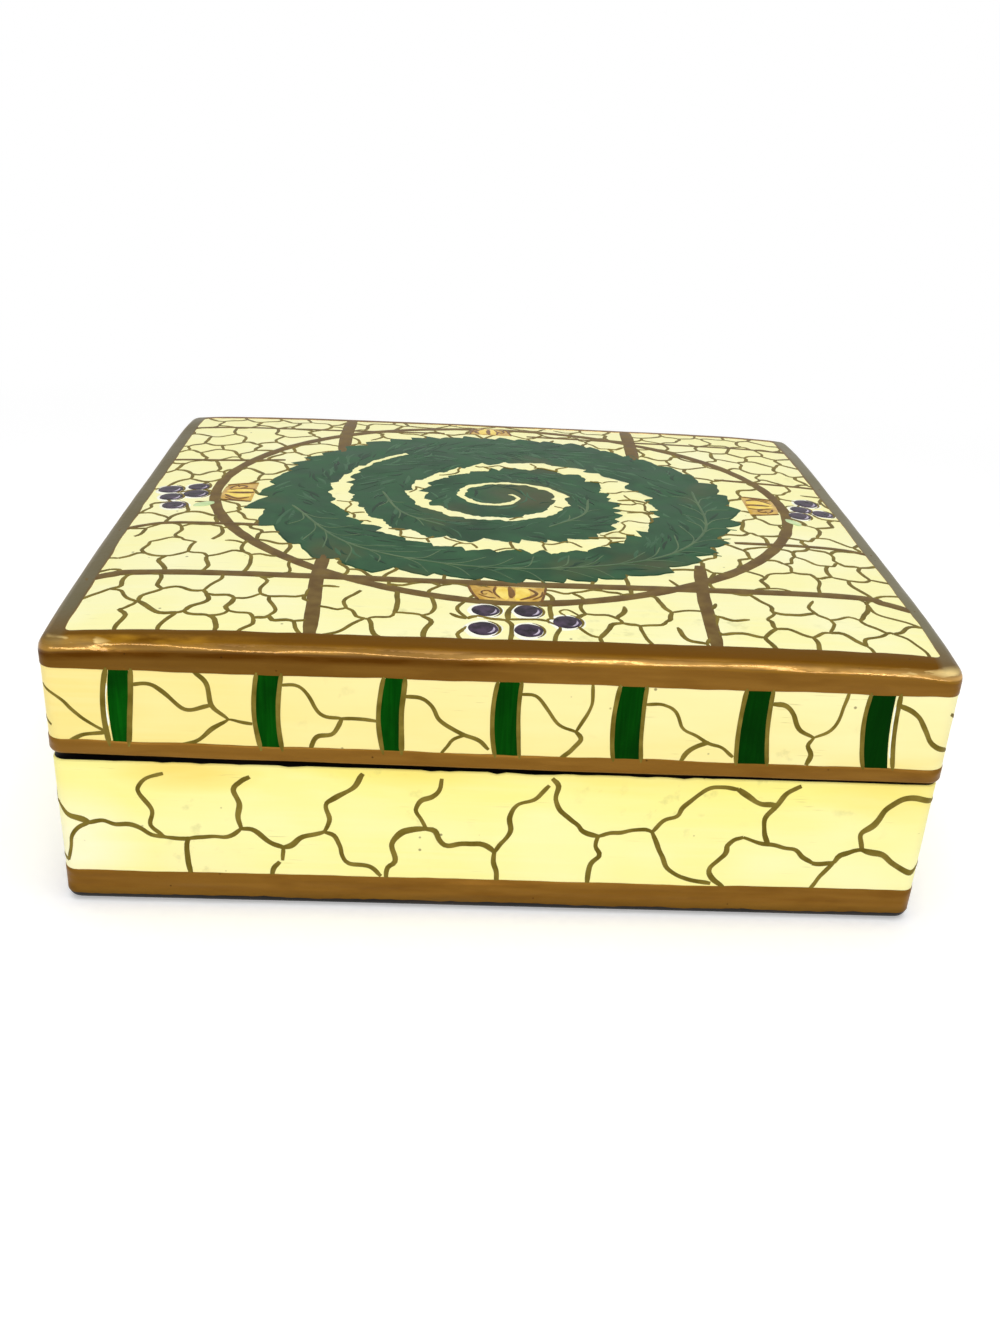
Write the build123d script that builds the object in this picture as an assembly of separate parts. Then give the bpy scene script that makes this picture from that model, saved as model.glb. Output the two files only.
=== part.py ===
"""Lift-off-lid box of moulded papier-mache: a tray, a crowned lid, and a neck of four glued strips.

Millimetres. X runs along the front, Y from front to back, Z up. The origin is the middle of the underside.
"""
from build123d import *
import os

# Whole box
length = 152.0              # left to right, over the lid
depth = 132.0               # front to back, over the lid
height = 53.4               # table to the middle of the lid
corner_round = 3.2          # upright corners of the lid, seen from above

# Base tray
base_height = 28.8          # table to the rim
base_wall = 4.0
base_floor = 4.0
foot_round = 2.2            # rolled edge round the underside
rim_round = 0.5             # sanded outer edge of both rims

# Lid
lid_overhang = 0.3          # the lid stands out this far past the base on every side
lid_top = 4.4               # thickness in the middle of the top
crown_fall = 1.3            # how far the top has fallen where it meets the walls
crown_power = 6             # even: 2 is a dome, 6 is level in the middle with soft shoulders
edge_round = 2.8            # rolled edge between the top and the walls
ceiling_round = 2.0         # cove inside, between the walls and the ceiling

# Neck: four strips of pasteboard, glued upright inside the base
neck_thickness = 2.4
neck_rise = 8.0             # above the base rim
neck_corner = 1.5           # corners of the base's cavity, and of the strips that fill them
neck_bevel = 0.8            # lead-in along the outer top edge, for the lid

# Clearances
lid_clearance = 0.4         # between the neck and the lid's walls
rest_gap = 0.3              # between the two rims: the lid rests on high spots of paint

# Worked out from the sizes above
base_length = length - 2 * lid_overhang
base_depth = depth - 2 * lid_overhang
base_corner = corner_round - lid_overhang
cavity_length = base_length - 2 * base_wall
cavity_depth = base_depth - 2 * base_wall
neck_top = base_height + neck_rise
lid_rim = base_height + rest_gap
ceiling = height - lid_top

# The crown is made a little larger than the lid, so that it cuts right through the walls
crown_margin = 2.0


def rounded_block(size_x, size_y, radius, bottom, top):
    """A block with rounded upright corners, standing between two heights."""
    outline = RectangleRounded(size_x, size_y, radius)
    return Pos(0, 0, bottom) * extrude(outline, top - bottom)


def edges_at(solid, level):
    """The edges of a solid that lie wholly at one height."""
    return solid.edges().filter_by_position(Axis.Z, level, level)


def crown_net_point(i, j):
    """One control point of the crown's net.

    Control heights that alternate between +1 and -1 give a Bezier curve that is exactly a power curve,
    level in the middle and 1 at both ends, when its degree is even.
    """
    reach_x = length / 2 + crown_margin
    reach_y = depth / 2 + crown_margin
    fall_x = crown_fall * (2 * reach_x / length) ** crown_power
    fall_y = crown_fall * (2 * reach_y / depth) ** crown_power
    x = reach_x * (2 * i / crown_power - 1)
    y = reach_y * (2 * j / crown_power - 1)
    return Vector(x, y, height - fall_x * (-1) ** i - fall_y * (-1) ** j)


def crown_surface():
    """The top of the lid as one smooth sheet, a little larger than the lid."""
    steps = range(crown_power + 1)
    return Face.make_bezier_surface([[crown_net_point(i, j) for i in steps] for j in steps])


def make_base_shell():
    """The tray: upright walls on a rolled foot, and a flat rim with its outer edge sanded."""
    body = rounded_block(base_length, base_depth, base_corner, 0, base_height)
    body = fillet(edges_at(body, 0), foot_round)
    body = fillet(edges_at(body, base_height), rim_round)
    return body - rounded_block(cavity_length, cavity_depth, neck_corner, base_floor, neck_top)


def make_lid_shell():
    """The lid: short walls, a rolled edge and a crowned top, hollow underneath with coved edges."""
    block = rounded_block(length, depth, corner_round, lid_rim, height + crown_margin)
    body = split(block, crown_surface(), keep=Keep.BOTH).solids().sort_by(Axis.Z)[0]
    crown_edges = body.edges().filter_by_position(Axis.Z, height - 2 * crown_fall, height)
    body = body.fillet(edge_round, crown_edges)
    body = body.fillet(rim_round, edges_at(body, lid_rim))
    hollow = rounded_block(
        cavity_length + 2 * lid_clearance,
        cavity_depth + 2 * lid_clearance,
        neck_corner + lid_clearance,
        base_height,
        ceiling,
    )
    return body - fillet(edges_at(hollow, ceiling), ceiling_round)


def make_neck_strips():
    """The neck: a block that fills the base's cavity, bevelled round its top, of which four strips are kept."""
    core = rounded_block(cavity_length, cavity_depth, neck_corner, base_floor, neck_top)
    core = chamfer(edges_at(core, neck_top), neck_bevel)
    inner_depth = cavity_depth - 2 * neck_thickness
    centre_x = (cavity_length - neck_thickness) / 2
    centre_y = (cavity_depth - neck_thickness) / 2
    centre_z = neck_top / 2
    long_strip = Box(cavity_length, neck_thickness, neck_top)
    short_strip = Box(neck_thickness, inner_depth, neck_top)
    return {
        "neck_front": core & (Pos(0, -centre_y, centre_z) * long_strip),
        "neck_back": core & (Pos(0, centre_y, centre_z) * long_strip),
        "neck_left": core & (Pos(-centre_x, 0, centre_z) * short_strip),
        "neck_right": core & (Pos(centre_x, 0, centre_z) * short_strip),
    }


def main():
    os.makedirs("parts", exist_ok=True)
    pieces = {"base_shell": make_base_shell(), "lid_shell": make_lid_shell()}
    pieces.update(make_neck_strips())
    for name, piece in pieces.items():
        piece.label = name
        export_step(piece, f"parts/{name}.step")


main()
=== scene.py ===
"""Looks of a hand-painted papier-mache box with a lift-off lid.

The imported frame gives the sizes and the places. The two shells are modelled again here with their
hand-made unevenness, and every coat of paint on them, from the gold borders to the last crackle
line, is a thin raised film that follows the surface it was brushed on.

Sizes are millimetres and are turned into metres where a mesh is made. X runs along the front,
Y from front to back, Z up. On the walls a place is (s, z): s is the way round the outline from
the middle of the front, anticlockwise seen from above, and z is the height.
"""
import math
import random

import bpy
from mathutils import Matrix, Vector, noise


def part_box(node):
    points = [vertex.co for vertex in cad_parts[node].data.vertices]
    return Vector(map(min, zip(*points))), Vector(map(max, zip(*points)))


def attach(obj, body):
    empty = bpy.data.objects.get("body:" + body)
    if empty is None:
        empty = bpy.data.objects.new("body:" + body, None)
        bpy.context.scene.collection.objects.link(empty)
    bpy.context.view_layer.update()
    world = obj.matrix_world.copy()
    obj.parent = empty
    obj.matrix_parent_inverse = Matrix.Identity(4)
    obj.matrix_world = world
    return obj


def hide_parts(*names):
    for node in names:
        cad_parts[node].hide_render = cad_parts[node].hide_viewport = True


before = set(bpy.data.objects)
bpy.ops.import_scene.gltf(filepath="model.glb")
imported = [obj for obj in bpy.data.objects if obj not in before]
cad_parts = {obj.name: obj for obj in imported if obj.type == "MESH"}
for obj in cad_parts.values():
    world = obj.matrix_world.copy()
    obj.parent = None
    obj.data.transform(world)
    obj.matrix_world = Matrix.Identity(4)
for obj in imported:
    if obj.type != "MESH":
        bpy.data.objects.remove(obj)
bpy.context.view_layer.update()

MM = 0.001

# Shells (the outer sizes come from the frame)
SKIN = 0.2                # bare shell inside the frame's surface, which leaves room for the paint
UNDERSIDE_SKIN = 0.1      # share of the skin that is left on the underside, where no paint is added
LID_CORNER = 3.2          # upright corners
BASE_CORNER = 2.9
INNER_CORNER = 1.5        # of both hollows
LID_ROLL = 2.8            # rolled edge between the lid's top and walls
FOOT_ROLL = 2.2           # rolled edge round the underside
CROWN_FALL = 1.3          # fall of the lid's top where it meets the walls
CROWN_POWER = 6
LID_TOP = 4.4             # thickness of the lid's top
BASE_FLOOR = 4.0
COVE = 1.8                # between the lid's walls and its ceiling
RIM_ROUND = 0.5
LID_FIT = 0.4             # the lid's walls stand this far off the neck

# Unevenness of the moulded board: depth and width
DENTS = (0.22, 38.0)
PIMPLES = (0.10, 7.0)

# The seam
SEAM_OPENING = 0.80       # how far the warped lid's rim stands off at the left end
SEAM_WAVER = (0.10, 16.0)  # height and width
BASE_RIM_WORN = 0.06
CHIP_WIDTH = 2.6
CHIP_DEPTH = 0.6

# Meshes
TOP_PITCH = 1.6
WALL_PITCH = 1.3
ROLL_STEPS = 8
RING_COUNTS = (150, 130)  # places along the long and the short sides of a film that runs right round
RING_ARC = 10             # places round each of its corners
STROKE_STEP = 0.8         # length of one piece of a stroke
FINE_STEP = 0.5
STROKE_WAVE = 3.6         # length over which a stroke grows wider and narrower
TAPER_RUN = 1.2           # length of a stroke's taper, in widths

# Thickness of the coats of paint, above the bare shell
LINE_COAT = 0.06
BORDER_COAT = 0.10
GREEN_COAT = 0.08
GAP_COAT = 0.11
DETAIL_COAT = 0.14
SUNK = -0.12              # the underside of a film, inside the shell


# ---------------------------------------------------------------- small helpers

def wave(x, y, z, width):
    """Smooth noise from -1 to 1 that changes over the given width."""
    return noise.noise(Vector((x, y, z)) / width)


def dent(x, y, z):
    """How far the hand-made surface lies inside the true one."""
    broad = 0.5 + 0.5 * wave(x, y, z, DENTS[1])
    fine = 0.5 + 0.5 * wave(x + 50, y - 30, z, PIMPLES[1])
    return DENTS[0] * broad + PIMPLES[0] * fine


def clamp(value):
    return min(max(value, 0.0), 1.0)


def ease(t):
    """0 to 1 with level ends."""
    t = clamp(t)
    return t * t * (3 - 2 * t)


def polar(share, reach=1.0):
    """A place at this share of a full turn, anticlockwise from the right."""
    angle = 2 * math.pi * share
    return Vector((reach * math.cos(angle), reach * math.sin(angle)))


def turn_left(v):
    return Vector((-v.y, v.x))


def curve(a, b, c, d, t):
    """A smooth curve through four evenly spaced values, from b where t is 0 to c where it is 1."""
    bend = 2 * a - 5 * b + 4 * c - d
    return 0.5 * (2 * b + (c - a) * t + bend * t * t + (3 * b - a - 3 * c + d) * t ** 3)


def stretches(knots):
    """Each stretch between two knots, with the knots before and after it."""
    ends = [2 * knots[0] - knots[1], *knots, 2 * knots[-1] - knots[-2]]
    return zip(ends, ends[1:], ends[2:], ends[3:])


def spline(points, step=STROKE_STEP):
    """A smooth line through given points, as evenly spaced places."""
    knots = [Vector(p) for p in points]
    if len(knots) == 2:
        knots.insert(1, (knots[0] + knots[1]) / 2)
    line = [knots[0]]
    for a, b, c, d in stretches(knots):
        pieces = max(2, round((c - b).length / step))
        line += [curve(a, b, c, d, k / pieces) for k in range(1, pieces + 1)]
    return line


def tangents(line):
    """Unit directions along a line."""
    steps = [b - a for a, b in zip(line[:1] + line[:-1], line[1:] + line[-1:])]
    return [d.normalized() if d.length > 1e-9 else Vector((1, 0)) for d in steps]


def waver(line, amount, rng, width=3.0, side=None):
    """A line with the small shake of a hand in it, across it or along side. Its two ends stay."""
    seed = rng.uniform(0, 100)
    last = len(line) - 1
    moved = []
    for k, (p, t) in enumerate(zip(line, tangents(line))):
        fade = math.sin(math.pi * k / last) ** 0.5 if 0 < k < last else 0.0
        moved.append(p + (side or turn_left(t)) * amount * fade * wave(p.x, p.y, seed, width))
    return moved


# ---------------------------------------------------------------- surfaces to paint on

class Outline:
    """A rounded rectangle seen from above. Its sides are numbered 0 front, 1 right, 2 back, 3 left."""

    def __init__(self, half_x, half_y, radius):
        self.half_x, self.half_y, self.radius = half_x, half_y, radius
        self.flat_x, self.flat_y = half_x - radius, half_y - radius
        self.around = 4 * (self.flat_x + self.flat_y) + 2 * math.pi * radius

    def inset(self, amount):
        return Outline(self.half_x - amount, self.half_y - amount, self.radius - amount)

    def corner(self, side):
        """Middle of the arc at the start of a side."""
        x, y = ((-1, -1), (1, -1), (1, 1), (-1, 1))[side % 4]
        return Vector((x * self.flat_x, y * self.flat_y))

    def facing(self, x, y):
        """Outward direction and inset of a place inside."""
        a, b = abs(x) - self.flat_x, abs(y) - self.flat_y
        if a > 0 and b > 0:
            reach = math.hypot(a, b)
            return Vector((math.copysign(a / reach, x), math.copysign(b / reach, y))), self.radius - reach
        if self.half_x - abs(x) < self.half_y - abs(y):
            return Vector((math.copysign(1, x), 0)), self.half_x - abs(x)
        return Vector((0, math.copysign(1, y))), self.half_y - abs(y)

    def rounded(self, x, y):
        """Moves a place of a square grid so that the grid's corners become round."""
        a, b = abs(x) - self.flat_x, abs(y) - self.flat_y
        if a <= 0 or b <= 0:
            return x, y
        shrink = max(a, b) / math.hypot(a, b)
        return math.copysign(self.flat_x + a * shrink, x), math.copysign(self.flat_y + b * shrink, y)

    def at(self, s):
        """The place at s, and the outward direction there."""
        s = (s + self.flat_x) % self.around
        arc = self.radius * math.pi / 2
        for side in range(4):
            outward = polar((side - 1) / 4)
            run = 2 * (self.flat_x, self.flat_y)[side % 2]
            if s <= run:
                return self.corner(side) + self.radius * outward + s * turn_left(outward), outward
            s -= run
            if s <= arc or side == 3:
                outward = polar((side - 1 + s / arc) / 4)
                return self.corner(side + 1) + self.radius * outward, outward
            s -= arc

    def ring(self):
        """Places and outward directions all the way round, as many on every ring."""
        found = []
        for side in range(4):
            outward = polar((side - 1) / 4)
            start, end = (self.corner(side + k) + outward * self.radius for k in (0, 1))
            count = RING_COUNTS[side % 2]
            found += [(start + (end - start) * k / count, outward) for k in range(count)]
            turned = [polar((side - 1 + k / RING_ARC) / 4) for k in range(RING_ARC)]
            found += [(self.corner(side + 1) + outward * self.radius, outward) for outward in turned]
        return found


def box_of(node):
    """Lowest and highest corner of a CAD node."""
    low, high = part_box(node)
    return low / MM, high / MM


lid_low, lid_high = box_of("lid_shell")
base_high = box_of("base_shell")[1]
neck_high = box_of("neck_back")[1]
lid_top, lid_rim, base_rim = lid_high.z, lid_low.z, base_high.z
lid = Outline(lid_high.x, lid_high.y, LID_CORNER)
base = Outline(base_high.x, base_high.y, BASE_CORNER)
lid_hollow = Outline(neck_high.x + LID_FIT, neck_high.y + LID_FIT, INNER_CORNER)
base_hollow = Outline(neck_high.x, neck_high.y, INNER_CORNER)


def crown(x, y):
    """Height of the lid's top."""
    fall = abs(x / lid.half_x) ** CROWN_POWER + abs(y / lid.half_y) ** CROWN_POWER
    return lid_top - CROWN_FALL * fall


def rolled(outline, roll, level, up, x, y, lift, worn=1.0):
    """A place on a face that rolls over into the walls. up is 1 for a top and -1 for an underside.

    worn is the share of the skin and the dents that is left on the flat of the face.
    """
    outward, inset = outline.facing(x, y)
    cosine = clamp((roll - inset) / roll)
    sine = math.sqrt(1 - cosine * cosine)
    z = level - up * roll * (1 - sine)
    depth = (SKIN + dent(x, y, z)) * (1 - (1 - worn) * sine)
    return Vector((x, y, z)) + Vector((*outward * cosine, up * sine)) * (lift - depth)


def on_top(x, y, lift=0.0):
    """A place on the lid's top."""
    return rolled(lid, LID_ROLL, crown(x, y), 1, x, y, lift)


def under_base(x, y, lift=0.0):
    """A place on the underside."""
    return rolled(base, FOOT_ROLL, 0.0, -1, x, y, lift, UNDERSIDE_SKIN)


def beside(p, outward, z, lift):
    """A place on a wall, above or below a place of its outline."""
    x, y = p + outward * (lift - SKIN - dent(p.x, p.y, z))
    return Vector((x, y, z))


def on_lid_wall(s, z, lift):
    return beside(*lid.at(s), z, lift)


def on_base_wall(s, z, lift):
    return beside(*base.at(s), z, lift)


def lifted(place, height):
    """The same surface, but resting on a coat of that height."""
    return lambda u, v, lift: place(u, v, lift + height)


def lid_rim_at(x, y):
    """The lid's rim is warped: it stands off the base on the left and closes on the right."""
    opened = 0.5 - 0.5 * x / lid.half_x
    height, width = SEAM_WAVER
    return lid_rim + SEAM_OPENING * opened ** 1.5 + height * (1 + wave(x, y, 3, width))


def base_rim_at(x, y):
    """The base's rim, with chips where the paint has broken away."""
    opened = 0.5 - 0.5 * x / base.half_x
    chips = max(0.0, wave(x, y, 7, CHIP_WIDTH) - 0.10) * (0.2 + 0.8 * opened)
    return base_rim - BASE_RIM_WORN - min(chips, CHIP_DEPTH)


# ---------------------------------------------------------------- meshes

def make_piece(name, vertices, faces, materials, body, face_slots=None):
    """A mesh object in metres that rides on a body."""
    mesh = bpy.data.meshes.new(name)
    mesh.from_pydata([Vector(v) * MM for v in vertices], [], faces)
    for material in materials:
        mesh.materials.append(material)
    mesh.polygons.foreach_set("use_smooth", [True] * len(faces))
    if face_slots:
        mesh.polygons.foreach_set("material_index", face_slots)
    mesh.set_sharp_from_angle(angle=math.radians(50))
    mesh.validate()
    piece = bpy.data.objects.new(name, mesh)
    bpy.context.scene.collection.objects.link(piece)
    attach(piece, body)
    return piece


def grid_lines(half, insets, count):
    """Grid lines across a face: close together in the rolled edges and even between them."""
    inner = half - insets[-1]
    middle = [-inner + 2 * inner * k / count for k in range(1, count)]
    return [d - half for d in insets] + middle + [half - d for d in reversed(insets)]


def face_grid(outline, insets, counts, surface):
    """Rows of places over a whole face, with round corners."""
    columns = grid_lines(outline.half_x, insets, counts[0])
    rows = grid_lines(outline.half_y, insets, counts[1])
    return [[surface(*outline.rounded(x, y)) for x in columns] for y in rows]


def edge_of(grid):
    """The outer loop of a grid, anticlockwise seen from above, from the front left corner."""
    right = [row[-1] for row in grid[:-1]]
    left = [row[0] for row in grid[:0:-1]]
    return grid[0][:-1] + right + grid[-1][:0:-1] + left


def strip(upper, lower, flip=False):
    """Quads between two closed loops of vertex numbers."""
    quads = zip(upper, lower, lower[1:] + lower[:1], upper[1:] + upper[:1])
    return [quad[::-1] if flip else quad for quad in quads]


def shell_mesh(outer, loops, hollow, painted, flip):
    """One closed skin: a face, loops that run round the walls and the rim, and the hollow's far face.

    Returns vertices, faces and slots: 0 on the outer face, 1 as far as the painted loops go, then 2.
    """
    vertices, faces, slots = [], [], []

    def add(quads, slot):
        faces.extend(quads)
        slots.extend([slot] * len(quads))

    def add_grid(grid, slot, backwards):
        first, wide = len(vertices), len(grid[0])
        vertices.extend(place for row in grid for place in row)
        rows = [list(range(first + j * wide, first + (j + 1) * wide)) for j in range(len(grid))]
        quads = [(a[i], a[i + 1], b[i + 1], b[i]) for a, b in zip(rows, rows[1:]) for i in range(wide - 1)]
        add([quad[::-1] if backwards else quad for quad in quads], slot)
        return edge_of(rows)

    upper = add_grid(outer, 0, flip)
    for k, loop in enumerate(loops):
        lower = list(range(len(vertices), len(vertices) + len(loop)))
        vertices.extend(loop)
        add(strip(upper, lower, flip), 1 if k < painted else 2)
        upper = lower
    add(strip(upper, add_grid(hollow, 2, not flip), flip), 2)
    return vertices, faces, slots


def make_shell(name, outline, roll, surface, rim_at, hollow, ceiling, cove, materials, body, node):
    """A tray or a lid: outer face, walls, rim and hollow.

    The three materials are those of the outer face, of the walls, and of the rim and the hollow.
    """
    turns = [math.pi / 2 * k / ROLL_STEPS for k in range(ROLL_STEPS + 1)]
    insets = [roll * (1 - math.cos(t)) for t in turns] + [outline.radius]
    counts = [round(2 * flat / TOP_PITCH) for flat in (outline.flat_x, outline.flat_y)]
    outer = face_grid(outline, insets, counts, surface)
    edge = edge_of(face_grid(outline, insets, counts, lambda x, y: Vector((x, y))))
    starts = [p.z for p in edge_of(outer)]
    rims = [rim_at(p.x, p.y) for p in edge]
    upward = 1 if rims[0] > starts[0] else -1

    def wall_loop(share, back, rise):
        """One loop round the outside, share of the way to the rim, then back and rise from there."""
        loop = []
        for p, start, rim in zip(edge, starts, rims):
            z = start + (rim - upward * RIM_ROUND - start) * share + upward * rise
            loop.append(beside(p, outline.facing(p.x, p.y)[0], z, -back))
        return loop

    def far_face(x, y):
        """The far face of the hollow, which is level or curves into the walls."""
        bend = clamp(1 - hollow.facing(x, y)[1] / cove) if cove else 0.0
        return Vector((x, y, ceiling + upward * cove * (1 - math.sqrt(1 - bend * bend))))

    count = round(abs(rims[0] - starts[0]) / WALL_PITCH)
    loops = [wall_loop(k / count, 0, 0) for k in range(1, count + 1)]
    for turn in (30, 60, 90):
        cosine, sine = polar(turn / 360)
        loops.append(wall_loop(1, RIM_ROUND * (1 - cosine), RIM_ROUND * sine))
    painted = len(loops) - 1
    inner_insets = [d * INNER_CORNER / outline.radius for d in insets]
    inner = face_grid(hollow, inner_insets, counts, far_face)
    for share in (0.0, 0.35, 0.7):
        loops.append([Vector((q.x, q.y, rim + (q.z - rim) * share)) for q, rim in zip(edge_of(inner), rims)])
    vertices, faces, slots = shell_mesh(outer, loops, inner, painted, flip=upward > 0)
    piece = make_piece(name, vertices, faces, materials, body, slots)
    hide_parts(node)


class Film:
    """Strokes and blots of one paint, gathered into one mesh of closed, slightly domed films."""

    def __init__(self):
        self.vertices = []
        self.faces = []

    def add(self, places):
        """Adds vertices and gives back their numbers."""
        first = len(self.vertices)
        self.vertices += places
        return list(range(first, len(self.vertices)))

    def sweep(self, sections):
        """A film through closed sections, with closed ends."""
        rows = [self.add(section) for section in sections]
        for a, b in zip(rows, rows[1:]):
            self.faces += strip(b, a)
        self.faces += [rows[0][::-1], rows[-1]]

    def stroke(self, place, line, width, coat=LINE_COAT, taper=(0.5, 0.5), rough=0.18, seed=0.0, lens=0.0):
        """A brush line along 2-D places. taper is what is left of the width at the two ends.

        lens is 1 for a stroke that is thickest half-way and thins out to both ends.
        """
        section = ((-0.5, SUNK), (-0.46, 0.45 * coat), (-0.22, coat), (0.22, coat), (0.46, 0.45 * coat),
                   (0.5, SUNK))
        length = sum((b - a).length for a, b in zip(line, line[1:]))
        rows = []
        gone = 0.0
        for p, before, t in zip(line, line[:1] + line, tangents(line)):
            gone += (p - before).length
            here = width * (1 + rough * wave(p.x, p.y, seed, STROKE_WAVE))
            for end, left in zip(taper, (gone, length - gone)):
                here *= end + (1 - end) * ease(left / (TAPER_RUN * width))
            here *= 1 - lens * (1 - math.sin(math.pi * min(gone / length, 1.0)) ** 0.7)
            rows.append([place(*(p + turn_left(t) * across * here), lift) for across, lift in section])
        self.sweep(rows)

    def blot(self, place, centre, outline, coat, rings=3):
        """A filled shape round a centre. outline holds its edge, anticlockwise."""
        centre = Vector(centre)
        shares = [k / rings for k in range(1, rings)] + [0.96, 1.0]
        lifts = [coat] * (rings - 1) + [0.75 * coat, SUNK]
        loops = [self.add([place(*(centre + (p - centre) * share), lift) for p in outline])
                 for share, lift in zip(shares, lifts)]
        for inner, outer in zip(loops, loops[1:]):
            self.faces += strip(inner, outer)
        top, low = self.add([place(*centre, lift) for lift in (coat, SUNK)])
        for middle, loop in ((top, loops[0]), (low, loops[-1][::-1])):
            self.faces += [(middle, a, b) for a, b in zip(loop, loop[1:] + loop[:1])]

    def band(self, place, left, right, coat, columns):
        """A filled strip between two edges with as many places each."""
        shares = [0.0, 0.04, *(k / columns for k in range(1, columns)), 0.96, 1.0]
        section = list(zip(shares, [SUNK] + [coat] * (columns + 1) + [SUNK]))[::-1]
        self.sweep([[place(*(a + (b - a) * share), lift) for share, lift in section]
                    for a, b in zip(left, right)])

    def finish(self, name, material, body="lid"):
        make_piece(name, self.vertices, self.faces, [material], body)


def round_film(name, rows, material, body):
    """A film that runs right round the box. rows are loops across it, and the last is under the first."""
    film = Film()
    numbers = [film.add(row) for row in rows]
    for upper, lower in zip(numbers, numbers[1:] + numbers[:1]):
        film.faces += strip(upper, lower)
    film.finish(name, material, body)


# ---------------------------------------------------------------- gold borders

EDGE_LEFT = 4.7             # the gold on the lid's top, in from the left
EDGE_RIGHT = (3.9, 5.2)     # in from the right, at the front and at the back end
EDGE_FRONT = (3.5, 4.5)     # in from the front, at the left and at the right end
EDGE_BACK = 4.2
EDGE_CORNER = 1.2           # rounding of its inner corners
EDGE_BOTTOM = 45.9          # where it ends on the walls
RIM_BAND_TOP = 32.6
RIM_BAND_SLOPE = 0.45       # rise of its top line from the middle to the left end
FOOT_BAND_TOP = 6.8
FOOT_TURN = 13              # degrees that the gold goes round the rolled foot
FOOT_TURN_LEAST = 3


def ragged(x, y, seed, slow, fast):
    """The waver of a hand-drawn edge. slow and fast are the amount and the width of its two waves."""
    return slow[0] * wave(x, y, seed, slow[1]) + fast[0] * wave(x, y, seed + 1, fast[1])


def wall_rows(outline, top_at, low_at, steps):
    """Loops round the walls. A step is the share of the way from the top line to the low one, and a lift."""
    rows = []
    for share, lift in steps:
        row = []
        for p, outward in outline.ring():
            top = top_at(p.x, p.y)
            row.append(beside(p, outward, top + (low_at(p.x, p.y) - top) * share, lift))
        rows.append(row)
    return rows


def roll_rows(turns, lift):
    """Loops round the lid's rolled edge, at turns from 90 degrees, level with the top, to 0, on the wall."""
    insets = [LID_ROLL * (1 - math.cos(math.radians(turn))) for turn in turns]
    return [[on_top(p.x, p.y, lift) for p, outward in lid.inset(inset).ring()] for inset in insets]


def edge_end(p):
    """Where the gold ends on the lid's top, for a place on a rounded rectangle as large as the lid."""
    u, v = p.x / lid.half_x, p.y / lid.half_y
    front = EDGE_FRONT[0] + (EDGE_FRONT[1] - EDGE_FRONT[0]) * (0.5 + 0.5 * u) ** 2
    right = EDGE_RIGHT[0] + (EDGE_RIGHT[1] - EDGE_RIGHT[0]) * (0.5 + 0.5 * v)
    reach_x = lid.half_x - (right if u > 0 else EDGE_LEFT)
    reach_y = lid.half_y - (EDGE_BACK if v > 0 else front)
    return Vector((u * reach_x, v * reach_y))


def edge_row(share, lift):
    """A loop on the lid's top, share of the way from the rolled edge to where the gold ends."""
    row = []
    ends = Outline(lid.half_x, lid.half_y, EDGE_CORNER).ring()
    for (p, outward), (start, _) in zip(ends, lid.inset(LID_ROLL).ring()):
        end = edge_end(p)
        shake = ragged(end.x, end.y, 5, (0.30, 9.0), (0.12, 3.0))
        place = start + (end - start) * share - outward * shake * share
        row.append(on_top(place.x, place.y, lift))
    return row


def make_gold_edge(material):
    """The wide gold border: a strip of the lid's top, the whole rolled edge and the top of the walls."""
    def roll_end(x, y):
        return crown(x, y) - LID_ROLL

    def bottom(x, y):
        return EDGE_BOTTOM + ragged(x, y, 11, (0.30, 14.0), (0.12, 4.0))

    rows = [edge_row(1.0, SUNK), edge_row(0.96, 0.7 * BORDER_COAT), edge_row(0.7, BORDER_COAT)]
    rows += roll_rows(range(80, -1, -10), BORDER_COAT)
    rows += wall_rows(lid, roll_end, bottom, ((0.5, BORDER_COAT), (0.95, BORDER_COAT), (1.0, SUNK)))
    rows += roll_rows((0, 45, 80), SUNK)
    round_film("lid_gold_edge", rows, material, "lid")


def make_gold_rim(material):
    """The gold line along the lid's rim, which goes in under it."""
    def top(x, y):
        return RIM_BAND_TOP - RIM_BAND_SLOPE * x / lid.half_x + ragged(x, y, 21, (0.22, 12.0), (0.10, 3.5))

    def low(x, y):
        return lid_rim_at(x, y) + RIM_ROUND

    steps = ((0, SUNK), (0.08, BORDER_COAT), (0.5, BORDER_COAT), (1, BORDER_COAT))
    rows = wall_rows(lid, top, low, steps)
    for rise, lift in ((0.1, BORDER_COAT - 0.2), (0.0, -0.5), (0.3, -0.9)):
        rows += [[beside(p, outward, lid_rim_at(p.x, p.y) + rise, lift) for p, outward in lid.ring()]]
    rows += wall_rows(lid, top, low, ((0.6, 2 * SUNK),))
    round_film("lid_gold_rim", rows, material, "lid")


def foot_row(share, lift):
    """A loop round the rolled foot, share of the way from the wall to the ragged end of the gold."""
    row = []
    for p, outward in base.ring():
        end = FOOT_TURN + ragged(p.x, p.y, 41, (9, 9.0), (8, 2.2))
        turn = math.radians(max(end, FOOT_TURN_LEAST) * share)
        place = p - outward * FOOT_ROLL * (1 - math.cos(turn))
        row.append(under_base(place.x, place.y, lift))
    return row


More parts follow.
